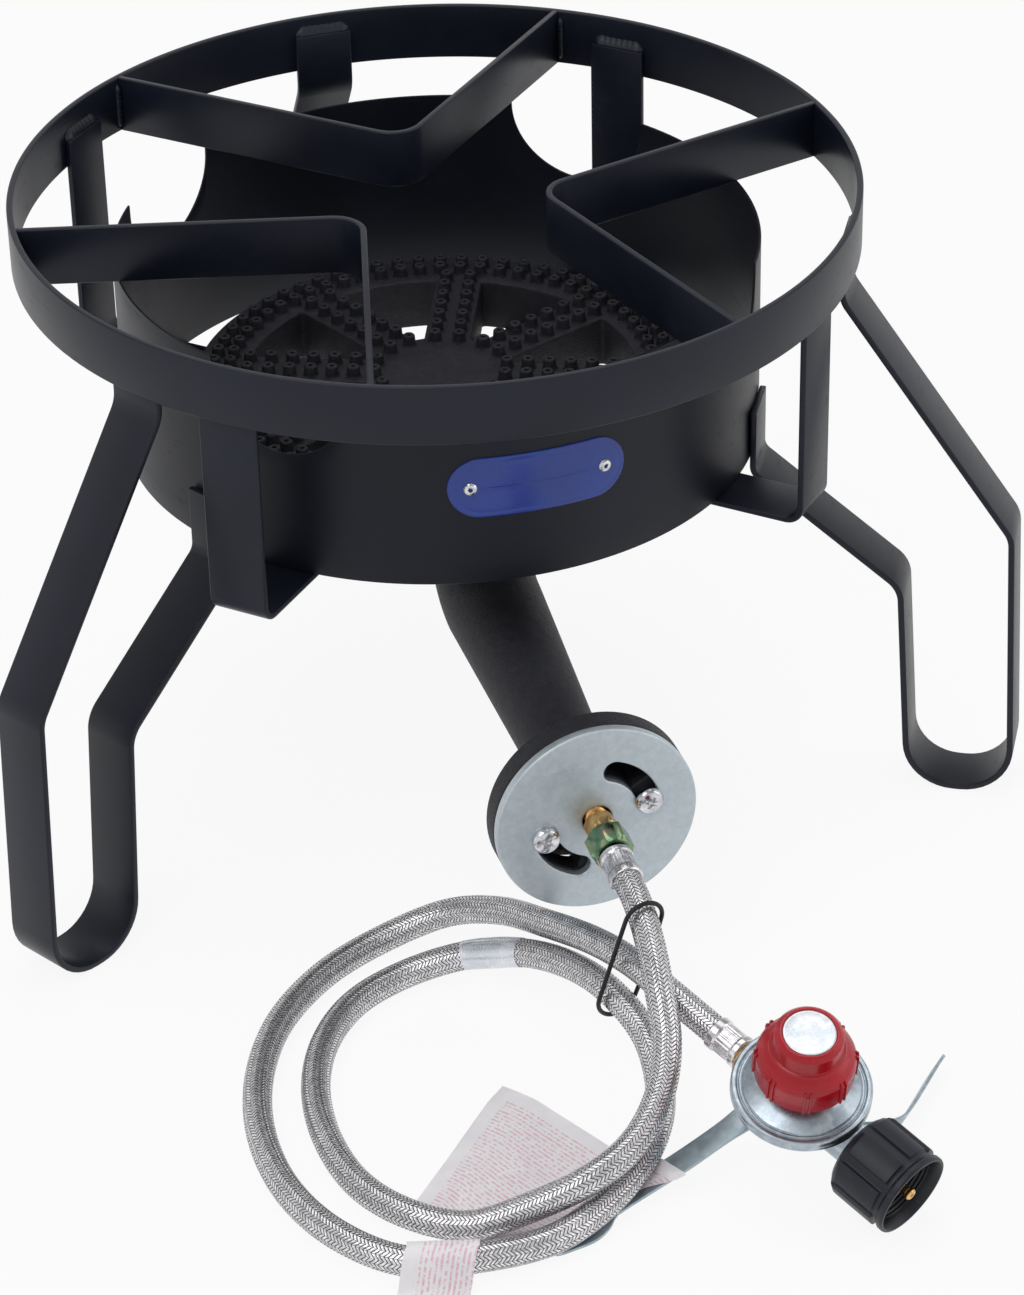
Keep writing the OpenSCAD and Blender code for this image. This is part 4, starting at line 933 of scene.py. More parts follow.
def dress(piece: Piece, slot: str, replaced: str, body: Body = Body.STAND) -> Piece:
    """Gives a piece its finish and its body, and hides the CAD node that it stands for.

    Args:
        piece: The piece.
        slot: The slot whose finish it takes.
        replaced: The CAD node it replaces.
        body: The body it rides on.

    Returns:
        The same piece.
    """
    piece.data.materials.clear()
    piece.data.materials.append(FINISHES[slot].material())
    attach(piece, body.value)
    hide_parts(replaced)
    LOG.info("%s: %s on %s", piece.name, slot, body.value)
    return piece


# Camera


@dataclass(frozen=True)
class Shot:
    """The camera's place and lens.

    Args:
        place: Where it stands, in metres.
        yaw: How far it looks to the left of +Y, in degrees, negative to the right.
        pitch: How far it looks down, in degrees.
        roll: Its turn about its own axis, in degrees.
        lens: The focal length for a 36 mm long side, in millimetres.
    """

    place: tuple[float, float, float] = (-0.5201, -1.7902, 1.2425)
    yaw: float = -17.204
    pitch: float = 32.7065
    roll: float = -1.29426
    lens: float = 116.96

    def build(self) -> None:
        """Makes the camera and sets it as the scene's."""
        yaw, pitch, roll = (math.radians(a) for a in (self.yaw, self.pitch, self.roll))
        level = Vector((-math.sin(yaw), math.cos(yaw), 0.0))
        right = Vector((math.cos(yaw), math.sin(yaw), 0.0))
        forward = level * math.cos(pitch) - Vector((0, 0, 1)) * math.sin(pitch)
        up = right.cross(forward)
        x = right * math.cos(roll) + up * math.sin(roll)
        y = up * math.cos(roll) - right * math.sin(roll)
        data = bpy.data.cameras.new("camera")
        data.lens = self.lens
        data.sensor_width = 36.0
        data.sensor_fit = "AUTO"
        data.clip_start = 0.05
        data.clip_end = 50.0
        camera = bpy.data.objects.new("camera", data)
        turn = Matrix((x, y, -forward)).transposed()
        camera.matrix_world = Matrix.Translation(Vector(self.place)) @ turn.to_4x4()
        bpy.context.collection.objects.link(camera)
        bpy.context.scene.camera = camera


# Shared places

SLOPE = math.radians(9.0)
SLOPE_OUT = np.array([0.0, -math.cos(SLOPE), -math.sin(SLOPE)])
FLANGE_Z = 95.5
SHUTTER_FRONT = np.array([0.0, -241.0, FLANGE_Z])
SLOPE_TURN = Matrix.Rotation(math.pi / 2 + SLOPE, 3, "X")
FACE_TURN = Matrix.Rotation(math.pi / 2, 3, "X")
REG_LEAN = math.radians(14.5)
REG_TURN = Euler((math.radians(10.5), REG_LEAN, math.radians(298.0)), "XYZ").to_matrix()
REG_LEN = 121.8
NUT_R = 21.5
REG_AT = np.array([16.5, -359.0, NUT_R * math.cos(REG_LEAN) + REG_LEN * math.sin(REG_LEAN)])
REG_IN = np.array(REG_TURN @ Vector((1, 0, 0)))
REG_UP = np.array(REG_TURN @ Vector((0, 0, 1)))
ALONG_X = Matrix.Rotation(math.pi / 2, 3, "Y")
REG_X = 52.6


def on_slope(piece: Piece, s: float = 0.0) -> Piece:
    """Stands a piece on the venturi's axis, s millimetres beyond the shutter's face."""
    return place(piece, SHUTTER_FRONT + s * SLOPE_OUT, SLOPE_TURN)


def facing(piece: Piece, y: float) -> Piece:
    """Turns a flat piece to face -Y with its base at the given distance in front of the axis."""
    return place(piece, (0.0, -y, FLANGE_Z), FACE_TURN)


def on_regulator(piece: Piece, at: Point = (0, 0, 0), lie: bool = False) -> Piece:
    """Puts a piece into the regulator's frame.

    Args:
        piece: The piece.
        at: Its origin in that frame.
        lie: Whether its Z axis is laid along the frame's X first.

    Returns:
        The same piece.
    """
    place(piece, at, ALONG_X if lie else None)
    return place(piece, REG_AT, REG_TURN)


# Hose

HOSE_D = 14.0
FLOOR_Z = HOSE_D / 2 + 0.6
HOSE_ROUTE = (
    (-1.5, -318, 80.5), (-5, -342, 70), (-9, -364, 54.1), (-20, -383.9, 41.3), (-38.2, -400.7, 31.8),
    (-62.6, -410.4, 25.3), (-90.6, -408.4, 15.3), (-117.1, -403.3, 8.4), (-140, -386, 7.9),
    (-155.1, -359, FLOOR_Z), (-160, -325, FLOOR_Z), (-156, -289, FLOOR_Z), (-142.9, -256, FLOOR_Z),
    (-121, -230, FLOOR_Z), (-92, -217, 9), (-62, -222, 17), (-39, -243, 27.9), (-24, -272, 37),
    (-14, -302, 39.9), (-6.9, -331, 32.9), (-9.9, -358.1, 21.8), (-23.9, -386.1, 18.9),
    (-47.8, -407.2, 12.2), (-81.3, -425.1, 9.8), (-116.9, -426.5, 9.4), (-150.1, -416.1, FLOOR_Z),
    (-174, -389, FLOOR_Z), (-187, -351.9, FLOOR_Z), (-188, -310, FLOOR_Z), (-178, -268.9, FLOOR_Z),
    (-158.1, -231.9, FLOOR_Z), (-129.1, -203.2, FLOOR_Z), (-96, -188, 10), (-62, -190, 20),
    (-41, -212, 32), (-27, -245, 43.6), (-15, -279, 54.5), (-6, -307, 59.5),
)


@dataclass
class Hose:
    """The braided gas hose with its ferrules, its tie, its foil band and its paper flag.

    Args:
        diameter: The hose's outer diameter.
        start_s: Where it leaves its burner ferrule, along the venturi's axis.
        braid_deep: How deep the braid's gaps are.
        tie_clear: The clearance between the tie's wire and the strands.
        tie_wire: The radius of the tie's wire.
        flag_steps: How many steps the flag has along each side.
    """

    diameter: float = HOSE_D
    start_s: float = 43.4
    braid_deep: float = 0.34
    tie_clear: float = 1.6
    tie_wire: float = 1.1
    flag_steps: int = 24

    def knots(self) -> list[np.ndarray]:
        """Gives the knots of the hose's middle line, with one extra at each end.

        Returns:
            The knots, from the burner to the regulator.
        """
        start = SHUTTER_FRONT + self.start_s * SLOPE_OUT
        line = [start - 16 * SLOPE_OUT, start, start + self.diameter * SLOPE_OUT]
        line += [np.array(p, float) for p in HOSE_ROUTE]
        line += [REG_AT - 31 * REG_IN, REG_AT - self.diameter * REG_IN, REG_AT, REG_AT + 16 * REG_IN]
        return line

    def tube(self, line: np.ndarray) -> Piece:
        """Makes the hose with the braid's relief, and UVs that count its columns and strands.

        Args:
            line: The middle line.

        Returns:
            The hose.
        """
        path = even_steps(line, BRAID_PITCH / 4)
        normals, across = carried_frames(path, (1, 0, 0), SLOPE_OUT, REG_IN)
        sides = BRAID_COLUMNS * 4
        u = np.arange(sides) / 4.0
        v = np.arange(len(path))[:, None] / 4.0
        column = np.floor(u)
        inside = u - column
        lean = np.where(column % 2 < 1, 1.0, -1.0) * (inside - 0.5) * BRAID_LEAN
        strand = np.abs(2 * np.mod(v + lean, 1.0) - 1.0)
        edge = np.abs(2 * inside - 1.0)
        relief = np.sqrt(1 - 0.96 * strand**2) * (1 - 0.6 * edge**3)
        radius = self.diameter / 2 - self.braid_deep + self.braid_deep * relief
        angles = u / BRAID_COLUMNS * TAU
        cos, sin = np.cos(angles)[None, :, None], np.sin(angles)[None, :, None]
        rows = path[:, None, :] + radius[:, :, None] * (cos * normals[:, None, :] + sin * across[:, None, :])
        mesh = bpy.data.meshes.new("gas_hose_braid")
        mesh.from_pydata((rows.reshape(-1, 3) * MM).tolist(), [], capped_faces(len(path), sides))
        uv = mesh.uv_layers.new(name="braid")
        quads = (len(path) - 1) * sides
        i, j = np.divmod(np.arange(quads), sides)
        corners = np.stack([np.stack([j, i], 1), np.stack([j + 1, i], 1), np.stack([j + 1, i + 1], 1),
                            np.stack([j, i + 1], 1)], 1) / 4.0
        flat = np.concatenate([corners.reshape(-1, 2), np.zeros((2 * sides, 2))])
        uv.data.foreach_set("uv", flat.ravel())
        mesh.flip_normals()
        return show("gas_hose_braid", mesh)

    def ferrule(self, name: str) -> Piece:
        """Makes a crimped ferrule from its stem at z = 0 to the hose's end at z = 18.

        Args:
            name: The mesh's name.

        Returns:
            The ferrule.
        """
        def flutes(r: float, a: float, z: float) -> float:
            """Presses the flutes into the crimped part.

            Args:
                r: The uncut radius.
                a: The angle, in radians.
                z: The place along the axis.

            Returns:
                The cut radius.
            """
            if 4.6 < z < 12.9 and r > 6:
                return r - 0.28 * (0.5 + 0.5 * math.cos(22 * a)) ** 2
            return r
        profile = rounded([
            (2.6, -2.6), (3.6, -2.6, 0.2), (3.6, 0.0), (7.2, 0.0, 0.4), (7.9, 0.8, 0.3), (8.2, 1.2, 0.3),
            (8.2, 3.4, 0.5), (7.7, 4.2, 0.3), (7.6, 4.7, 0.3), (7.6, 12.8, 0.3), (7.8, 13.4, 0.3),
            (8.2, 14.1, 0.4), (8.2, 17.5, 0.3), (7.9, 18.0, 0.2), (7.1, 18.0, 0.1), (7.1, 16.0),
            (2.6, 16.0), (2.6, -2.6)
        ])
        return turned(name, profile, 132, 40, flutes)

    def tie(self, coarse: np.ndarray) -> Piece:
        """Makes the wire tie round the three strands.

        Args:
            coarse: The middle line.

        Returns:
            The tie.
        """
        axis = unit(np.array([0.14, -0.98, -0.1]))
        mid = np.array([-7.0, -307.0, 61.0])
        long = unit(np.cross(axis, (1, 0, 0)))
        wide = np.cross(axis, long)
        away = (coarse - mid) @ axis

        def crossing(first: int, last: int) -> np.ndarray:
            """Gives the place where a strand passes the tie.

            Args:
                first: The first point of the strand.
                last: Its last point.

            Returns:
                The place.
            """
            for k in range(first, last):
                if away[k] * away[k + 1] <= 0:
                    return coarse[k] + (coarse[k + 1] - coarse[k]) * away[k] / (away[k] - away[k + 1])
            raise ValueError("the strand doesn't cross the tie")

        centres = [crossing(0, 8), crossing(34, 46), crossing(72, 82)]
        flat = np.array([[(q - mid) @ long, (q - mid) @ wide] for q in centres])
        reach = self.diameter / 2 + self.tie_clear + self.tie_wire
        loop = []
        for a in np.linspace(0, TAU, 96, endpoint=False):
            d = np.array([math.cos(a), math.sin(a)])
            far = flat[int(np.argmax(flat @ d))] + reach * d
            loop.append(mid + far[0] * long + far[1] * wide)
        points = np.array(loop)
        steps = np.linalg.norm(np.roll(points, -1, 0) - points, axis=1)
        points = points[steps > 0.05]
        even = even_steps(np.concatenate([points, points[:1]]), 1.2)[:-1]
        return ring_tube("hose_tie_loop", even, self.tie_wire, 12, tuple(axis), True)

    def band(self, line: np.ndarray) -> Piece:
        """Makes the foil band that is crimped round the inner strand.

        Args:
            line: The middle line.

        Returns:
            The band.
        """
        path = even_steps(line[34 * 4:36 * 4 + 1], 0.8)
        normals, across = carried_frames(path, (0, 0, 1))
        rows = []
        inner, outer, last = self.diameter / 2 + 0.02, self.diameter / 2 + 0.3, len(path) - 1
        stations = [(inner, 0)]
        stations += [(outer - (0.1 if i in (0, last) else 0.0), i) for i in range(last + 1)]
        stations.append((inner, last))
        for r, i in stations:
            for k in range(64):
                a = k * TAU / 64
                q = r + 0.03 * math.sin(5 * a + i * 0.4)
                if k in (20, 21, 22):
                    q += 0.1
                rows.append(path[i] + q * (math.cos(a) * normals[i] + math.sin(a) * across[i]))
        return add_mesh("hose_band_foil", np.array(rows), grid_faces(len(stations), 64, True, True))

    def flag(self) -> Piece:
        """Makes the paper flap that is folded over the outer strand, its front lying on the floor.

        Returns:
            The flag.
        """
        first, last = np.array([-150.0, -417.0]), np.array([-119.0, -426.9])
        along = unit(last - first)
        front = np.array([along[1], -along[0]])
        r = self.diameter / 2 + 1.1
        bend = [(r * math.sin(a), r * math.cos(a)) for a in np.radians(np.linspace(-60, 60, 15))]
        cut = [(-10.0, 2 * r - 17.32), *bend, (10.0, 2 * r - 17.32), (11.8, -4.4), (13.2, -6.6), (14.6, -7.7)]
        cut += [(c, -30.0) for c in np.linspace(16.5, 31.0, 12)]

        def at(i: int, w: float) -> Point:
            """Gives a place on the flag.

            Args:
                i: The row's number.
                w: The share of its width.

            Returns:
                The place.
            """
            c, high = cut[i]
            q = (1 - w) * first + w * last + c * front - max(0.0, c) * 0.3 * along
            far = max(0.0, c - 13.0) / 18.0
            wave = 0.16 * far * (1 + math.sin(5.0 * w + 3.0 * far))
            return (q[0], q[1], max(wave, 8.6 + w + high) + 0.04)
        return paper_sheet("hose_flag_paper", at, len(cut), self.flag_steps + 1, 0.2)

    def build(self) -> None:
        coarse, line = smooth_path(self.knots(), 2), smooth_path(self.knots(), 8)
        hose = dress(self.tube(line), "braid", "gas_hose")
        near = on_slope(self.ferrule("burner_ferrule_steel"), 25.4)
        dress(near, "ferrule_steel", "burner_ferrule")
        back = Matrix.Rotation(-math.pi / 2, 3, "Y")
        far = place(self.ferrule("regulator_ferrule_steel"), (18.0, 0, 0), back)
        dress(place(far, REG_AT, REG_TURN), "ferrule_steel", "regulator_ferrule")
        dress(self.tie(coarse), "tie", "hose_tie")
        dress(self.band(line), "band_foil", "hose_band")
        dress(self.flag(), "paper", "hose_flag")


def paper_sheet(name: str, at: Callable[[int, float], Point], rows: int, cols: int, thick: float) -> Piece:
    """Makes a thin sheet of paper.

    Args:
        name: The piece's name.
        at: Gives a place on the underside from the row's number and the share along the row.
        rows: How many rows of points there are.
        cols: How many points a row has.
        thick: The sheet's thickness.

    Returns:
        The new object, with UVs in millimetres.
    """
    base = np.array([[at(i, j / (cols - 1)) for j in range(cols)] for i in range(rows)], float)
    wide = np.zeros((rows, cols))
    wide[1:] = np.cumsum(np.linalg.norm(np.diff(base, axis=0), axis=2), axis=0)
    long = np.zeros((rows, cols))
    long[:, 1:] = np.cumsum(np.linalg.norm(np.diff(base, axis=1), axis=2), axis=1)
    out = np.cross(np.gradient(base, axis=1), np.gradient(base, axis=0))
    out /= np.linalg.norm(out, axis=2)[:, :, None]
    if out[..., 2].mean() < 0:
        out = -out
    size = rows * cols
    faces = grid_faces(rows, cols, False)
    upper = [tuple(size + i for i in reversed(f)) for f in faces]
    rim = list(range(cols)) + [(i + 1) * cols - 1 for i in range(1, rows)]
    rim += [size - 1 - i for i in range(1, cols)] + [i * cols for i in range(rows - 2, 0, -1)]
    edge = [(rim[k - 1], rim[k], rim[k] + size, rim[k - 1] + size) for k in range(len(rim))]
    points = np.concatenate([base.reshape(-1, 3), (base + thick * out).reshape(-1, 3)])
    piece = add_mesh(name, points, faces + upper + edge, 50)
    uv = piece.data.uv_layers.new(name="paper")
    both = np.tile(np.stack([wide, long], 2).reshape(-1, 2), (2, 1))
    for loop in piece.data.loops:
        if loop.vertex_index < len(both):
            uv.data[loop.index].uv = both[loop.vertex_index]
    return piece


# Stand

RING_R = 210.0
BAR_W = 30.0
BAR_T = 3.2
RING_IN = RING_R - BAR_T
SEAT_R = math.sqrt(RING_IN**2 - (BAR_W / 2) ** 2)
MID_R = SEAT_R - BAR_T / 2
RING_Z = 290.0
BAR_EDGE = 0.7
SUPPORT_CORNER = 51.14
SHIELD_R = 160.5
SHIELD_T = 1.2
SHIELD_LOW = 185.0
SHIELD_TOP = 290.0
PLATE_Z = 237.5


def in_plane(profile: Sequence[Point], degrees: float) -> np.ndarray:
    """Stands a line of radius and height in the upright plane at an angle about the axis."""
    a = math.radians(degrees)
    return np.array([(r * math.cos(a), r * math.sin(a), z) for r, z in profile])


def upright_bar(name: str, profile: Sequence[Point], degrees: float) -> Piece:
    """Bends a flat bar along a line in an upright plane through the axis.

    Args:
        name: The piece's name.
        profile: Each corner's distance from the axis, its height and its bend radius.
        degrees: The plane's angle about the axis.

    Returns:
        The bar.
    """
    a = math.radians(degrees)
    across = (-math.sin(a), math.cos(a), 0.0)
    path = in_plane(rounded(profile, 10), degrees)
    return swept_bar(name, path, bar_section(BAR_W, BAR_T, BAR_EDGE), lambda i, t: across)


@dataclass
class PotRing:
    """The ring that a pot stands on, with its three bent supports.

    Args:
        low: The ring's lower edge.
        corner: How far from the axis each support's sharp corner would lie.
        bend: The bend radius of a support's middle line.
    """

    low: float = RING_Z
    corner: float = SUPPORT_CORNER
    bend: float = 15.6

    def hoop(self) -> Piece:
        """Makes the ring of flat bar.

        Returns:
            The ring.
        """
        high = self.low + BAR_W
        corners = ((RING_IN, self.low), (RING_R, self.low), (RING_R, high), (RING_IN, high))
        profile = rounded([(*corner, BAR_EDGE) for corner in corners], 3, True)
        return turned("pot_ring_bar", profile + profile[:1], 360)

    def support(self, name: str, degrees: float) -> Piece:
        """Makes one V of flat bar that is cut to the ring.

        Args:
            name: The mesh's name.
            degrees: Which side of the ring it stands on.

        Returns:
            The support.
        """
        far = RING_IN + 0.4
        half = math.radians(45)
        along = -self.corner * math.cos(half) + math.sqrt(far**2 - (self.corner * math.sin(half)) ** 2)
        ends = [(self.corner + along * math.cos(half), side * along * math.sin(half)) for side in (1, -1)]
        flat = rounded([ends[0], (self.corner, 0.0, self.bend), ends[1]], 14)
        path = np.array([(*spun(x, y, degrees), self.low + BAR_W / 2) for x, y in flat])
        return swept_bar(name, path, bar_section(BAR_W, BAR_T, BAR_EDGE), lambda i, t: (0, 0, 1), 0.3)

    def build(self) -> None:
        """Makes the ring and its supports."""
        dress(self.hoop(), "stand_coat", "pot_ring")
        for where, degrees in (("back", 90), ("front_left", 210), ("front_right", 330)):
            dress(self.support(f"pot_support_{where}_bar", degrees), "stand_coat", f"pot_support_{where}")


@dataclass
class Frame:
    """The looped legs, the straps under the burner and the welds.

    Args:
        leg_top: The level of the legs' upper ends.
        strap_top: The level of the straps' upper ends.
        strap_z: The level of the middle of the straps' thickness.
        bend: The bend radius of a strap's middle line.
        weld: The height of a weld.
    """

    leg_top: float = 310.5
    strap_top: float = 305.0
    strap_z: float = 183.4
    bend: float = 8.0
    weld: float = 5.0

    def leg(self, name: str, degrees: float) -> Piece:
        """Makes one leg: down from the ring, out, round its foot and back up to the windshield.

        Args:
            name: The mesh's name.
            degrees: Which way it points.

        Returns:
            The leg.
        """
        line = [(MID_R, self.leg_top), (MID_R, 279, 16), (292.5, 153, 16), (298.2, 1.6, 25), (245, 1.6, 25),
                (238, 118, 16), (162.1, 178, 8), (162.1, 212)]
        return upright_bar(name, line, degrees)

    def burner_strap(self) -> Piece:
        """Makes the long strap that crosses under the burner from side to side.

        Returns:
            The strap.
        """
        line = [(-MID_R, self.strap_top), (-MID_R, self.strap_z, self.bend), (MID_R, self.strap_z, self.bend),
                (MID_R, self.strap_top)]
        return upright_bar("burner_strap_bar", line, 225)

    def cross_strap(self, name: str, degrees: float) -> Piece:
        """Makes a short strap from the long one's side out and up to the ring."""
        line = [(BAR_W / 2 + 0.02, self.strap_z), (MID_R, self.strap_z, self.bend), (MID_R, self.strap_top)]
        return upright_bar(name, line, degrees)

    def end_weld(self, degrees: float, z: float) -> Piece:
        """Makes the weld along the top of a bar's end, with the ripple of its puddles.

        Args:
            degrees: Where it is round the stand.
            z: Its height.

        Returns:
            The bead.
        """
        a = math.radians(degrees)
        out = np.array([math.cos(a), math.sin(a), 0.0])
        across = np.array([-math.sin(a), math.cos(a), 0.0])
        rows = []
        count = 54
        for i in range(count):
            share = i / (count - 1)
            x = (share - 0.5) * (BAR_W - 1.0)
            swell = 0.86 + 0.1 * abs(math.sin(share * math.pi * 9)) + 0.04 * math.sin(share * 7 + degrees)
            fade = min(1.0, 0.35 + 6 * min(share, 1 - share))
            base = math.sqrt(RING_IN**2 - x * x)
            section = [(base + 0.15, z - 0.4), (base + 0.15, z + self.weld * swell * fade)]
            for k in range(1, 8):
                t = k / 8
                bulge = 0.55 * math.sin(math.pi * t) * swell
                section.append((base - BAR_T * 0.97 * t * fade - bulge * 0.3,
                                z + self.weld * swell * fade * (1 - t) + bulge))
            section += [(base - BAR_T * 0.97 * fade, z - 0.05), (base - BAR_T * 0.9 * fade, z - 0.4)]
            rows.extend(out * r + across * x + np.array([0, 0, h]) for r, h in section)
        return add_mesh("bead", np.array(rows), capped_faces(count, len(section)), 60)

    def corner_weld(self, degrees: float, side: int) -> Piece:
        """Makes the upright weld in the corner between a support's arm and the ring.

        Args:
            degrees: Which side of the ring the support stands on.
            side: Which arm it is on, 1 or -1.

        Returns:
            The bead.
        """
        half = math.radians(45)
        corner = SUPPORT_CORNER
        along = -corner * math.cos(half) + math.sqrt(RING_IN**2 - (corner * math.sin(half)) ** 2)
        x, y = corner + along * math.cos(half) - 1.8, side * (along * math.sin(half) + 2.4)
        scale = (RING_IN - 0.4) / math.hypot(x, y)
        x, y = x * scale, y * scale
        rows, count = [], 40
        for i in range(count):
            share = i / (count - 1)
            swell = 0.84 + 0.16 * abs(math.sin(share * math.pi * 9))
            r = 2.0 * swell * min(1.0, 0.3 + 7 * min(share, 1 - share))
            for k in range(14):
                t = k * TAU / 14
                px, py = x + r * math.cos(t), y + r * math.sin(t)
                far = math.hypot(px, py)
                if far > RING_IN + 0.3:
                    px, py = px * (RING_IN + 0.3) / far, py * (RING_IN + 0.3) / far
                rows.append((*spun(px, py, degrees), RING_Z + 3 + share * (BAR_W - 6.5)))
        return add_mesh("bead", np.array(rows), capped_faces(count, 14), 60)

    def build(self) -> None:
        """Makes the legs, the straps and the welds."""
        for where, degrees in (("back", 90), ("front_left", 210), ("front_right", 330)):
            dress(self.leg(f"leg_{where}_bar", degrees), "stand_coat", f"leg_{where}")
        dress(self.burner_strap(), "stand_coat", "burner_strap")
        for where, degrees in (("left", 135), ("right", 315)):
            dress(self.cross_strap(f"cross_strap_{where}_bar", degrees), "stand_coat", f"cross_strap_{where}")
        beads = [self.end_weld(a, self.leg_top) for a in (90, 210, 330)]
        beads += [self.end_weld(a, self.strap_top) for a in (45, 135, 225, 315)]
        beads += [self.corner_weld(a, side) for a in (90, 210, 330) for side in (-1, 1)]
        dress(joined("weld_beads_rippled", beads, 60), "weld", "weld_beads")


@dataclass
class Windshield:
    """The scalloped windshield with its bare blue plate and two rivets.

    Args:
        scallop: The radius of the four scallops.
        scallop_z: The level of their centres.
        plate_w: The plate's length.
        plate_h: The plate's height.
        plate_t: The plate's thickness.
        rivet_turn: The rivets' angle to either side of the plate's middle, in degrees.
    """

    scallop: float = 38.0
    scallop_z: float = 287.0
    plate_w: float = 88.0
    plate_h: float = 32.0
    plate_t: float = 0.8
    rivet_turn: float = 11.96

    def rim(self) -> Outline:
        """Lists angles round the shield with the height of its top edge at each.

        Returns:
            Angles in radians, each with a height.
        """
        out: Outline = []
        for quarter in range(4):
            centre = math.radians(45 + 90 * quarter)
            for k in range(41):
                phi = math.pi * (k / 40 - 0.5)
                x = self.scallop * math.sin(phi)
                a = centre + math.asin(x / SHIELD_R)
                if k == 0:
                    out.append((a - 0.0006, SHIELD_TOP))
                    out.append((a - 0.0002, SHIELD_TOP - 0.5))
                out.append((a, self.scallop_z - self.scallop * math.cos(phi)))
                if k == 40:
                    out.append((a + 0.0002, SHIELD_TOP - 0.5))
                    out.append((a + 0.0006, SHIELD_TOP))
            gap = math.radians(90) - 2 * math.asin(self.scallop / SHIELD_R)
            last = centre + math.asin(self.scallop / SHIELD_R)
            out.extend((last + gap * k / 40, SHIELD_TOP) for k in range(1, 40))
        return out

    def shell(self) -> Piece:
        """Makes the rolled sheet with its scalloped top edge.

        Returns:
            The shield.
        """
        half = SHIELD_T / 2
        rim = self.rim()
        count = 0
        rows = []
        for a, top in rim:
            section = [(SHIELD_R, z) for z in np.linspace(SHIELD_LOW + half, top - half, 9)]
            section += arc((SHIELD_R - half, top - half), half, 30, 150, 5)
            section += [(SHIELD_R - SHIELD_T, z) for z in np.linspace(top - half, SHIELD_LOW + half, 9)]
            section += arc((SHIELD_R - half, SHIELD_LOW + half), half, 210, 330, 5)
            count = len(section)
            rows.extend((r * math.cos(a), r * math.sin(a), z) for r, z in section)
        return add_mesh("windshield_sheet", np.array(rows), grid_faces(len(rim), count, True, True), 40)

    def plate(self) -> Piece:
        """Makes the plate, bent round the shield, with rounded ends and a soft edge.

        Returns:
            The plate.
        """
        end = self.plate_h / 2
        straight = self.plate_w / 2 - end
        outline = [(math.cos(t), math.sin(t)) for t in np.linspace(-math.pi / 2, math.pi / 2, 25)]
        spans = np.linspace(straight, -straight, 25)[1:-1]
        rows, count = [], 0
        levels = [(0.0, -0.02), (0.0, 0.45), (0.12, 0.68), (0.4, 0.8), (1.0, 0.8), (2.2, 0.8), (2.5, 0.76),
                  (2.9, 0.76), (3.2, 0.8), (6.0, 0.8), (10.0, 0.8), (13.0, 0.8), (15.9, 0.8)]
        for inset, high in levels:
            r = end - inset
            ring = [(straight + r * c, r * s) for c, s in outline] + [(x, r) for x in spans]
            ring += [(-straight - r * c, -r * s) for c, s in outline] + [(x, -r) for x in -spans]
            count = len(ring)
            lift = SHIELD_R + high * self.plate_t / 0.8
            rows.extend((x, -math.sqrt(lift**2 - x * x), PLATE_Z + z) for x, z in ring)
        return add_mesh("name_plate_enamelled", np.array(rows), grid_faces(len(levels), count), 50)

    def rivet(self, degrees: float) -> Piece:
        """Makes a blind rivet with its hollow middle and the flare behind the sheet.

        Args:
            degrees: Where it is round the shield.

        Returns:
            The rivet.
        """
        face = SHIELD_R + self.plate_t
        profile = rounded([
            (0.0, face - 3.3), (2.6, face - 3.3, 0.4), (2.6, face - 2.0, 0.2), (1.6, face - 2.0),
            (1.6, face), (3.4, face, 0.15), (3.3, face + 0.35, 0.3), (2.7, face + 1.1, 0.6),
            (1.7, face + 1.45, 0.4), (1.15, face + 1.35, 0.25), (0.95, face + 0.7, 0.1),
            (0.9, face - 0.6, 0.1), (0.5, face - 0.55, 0.2), (0.0, face - 0.35)
        ], 3)
        piece = turned("rivet", profile, 40, 40)
        turn = Matrix.Rotation(math.radians(degrees), 3, "Z") @ Matrix.Rotation(math.pi / 2, 3, "X")
        return place(piece, (0, 0, PLATE_Z), turn)

    def build(self) -> None:
        """Makes the shield, its plate and the rivets."""
        dress(self.shell(), "shield_coat", "windshield")
        dress(self.plate(), "plate_enamel", "name_plate")
        rivets = joined("plate_rivets_blind", [self.rivet(side * self.rivet_turn) for side in (-1, 1)], 40)
        dress(rivets, "rivet", "plate_rivets")


# Burner


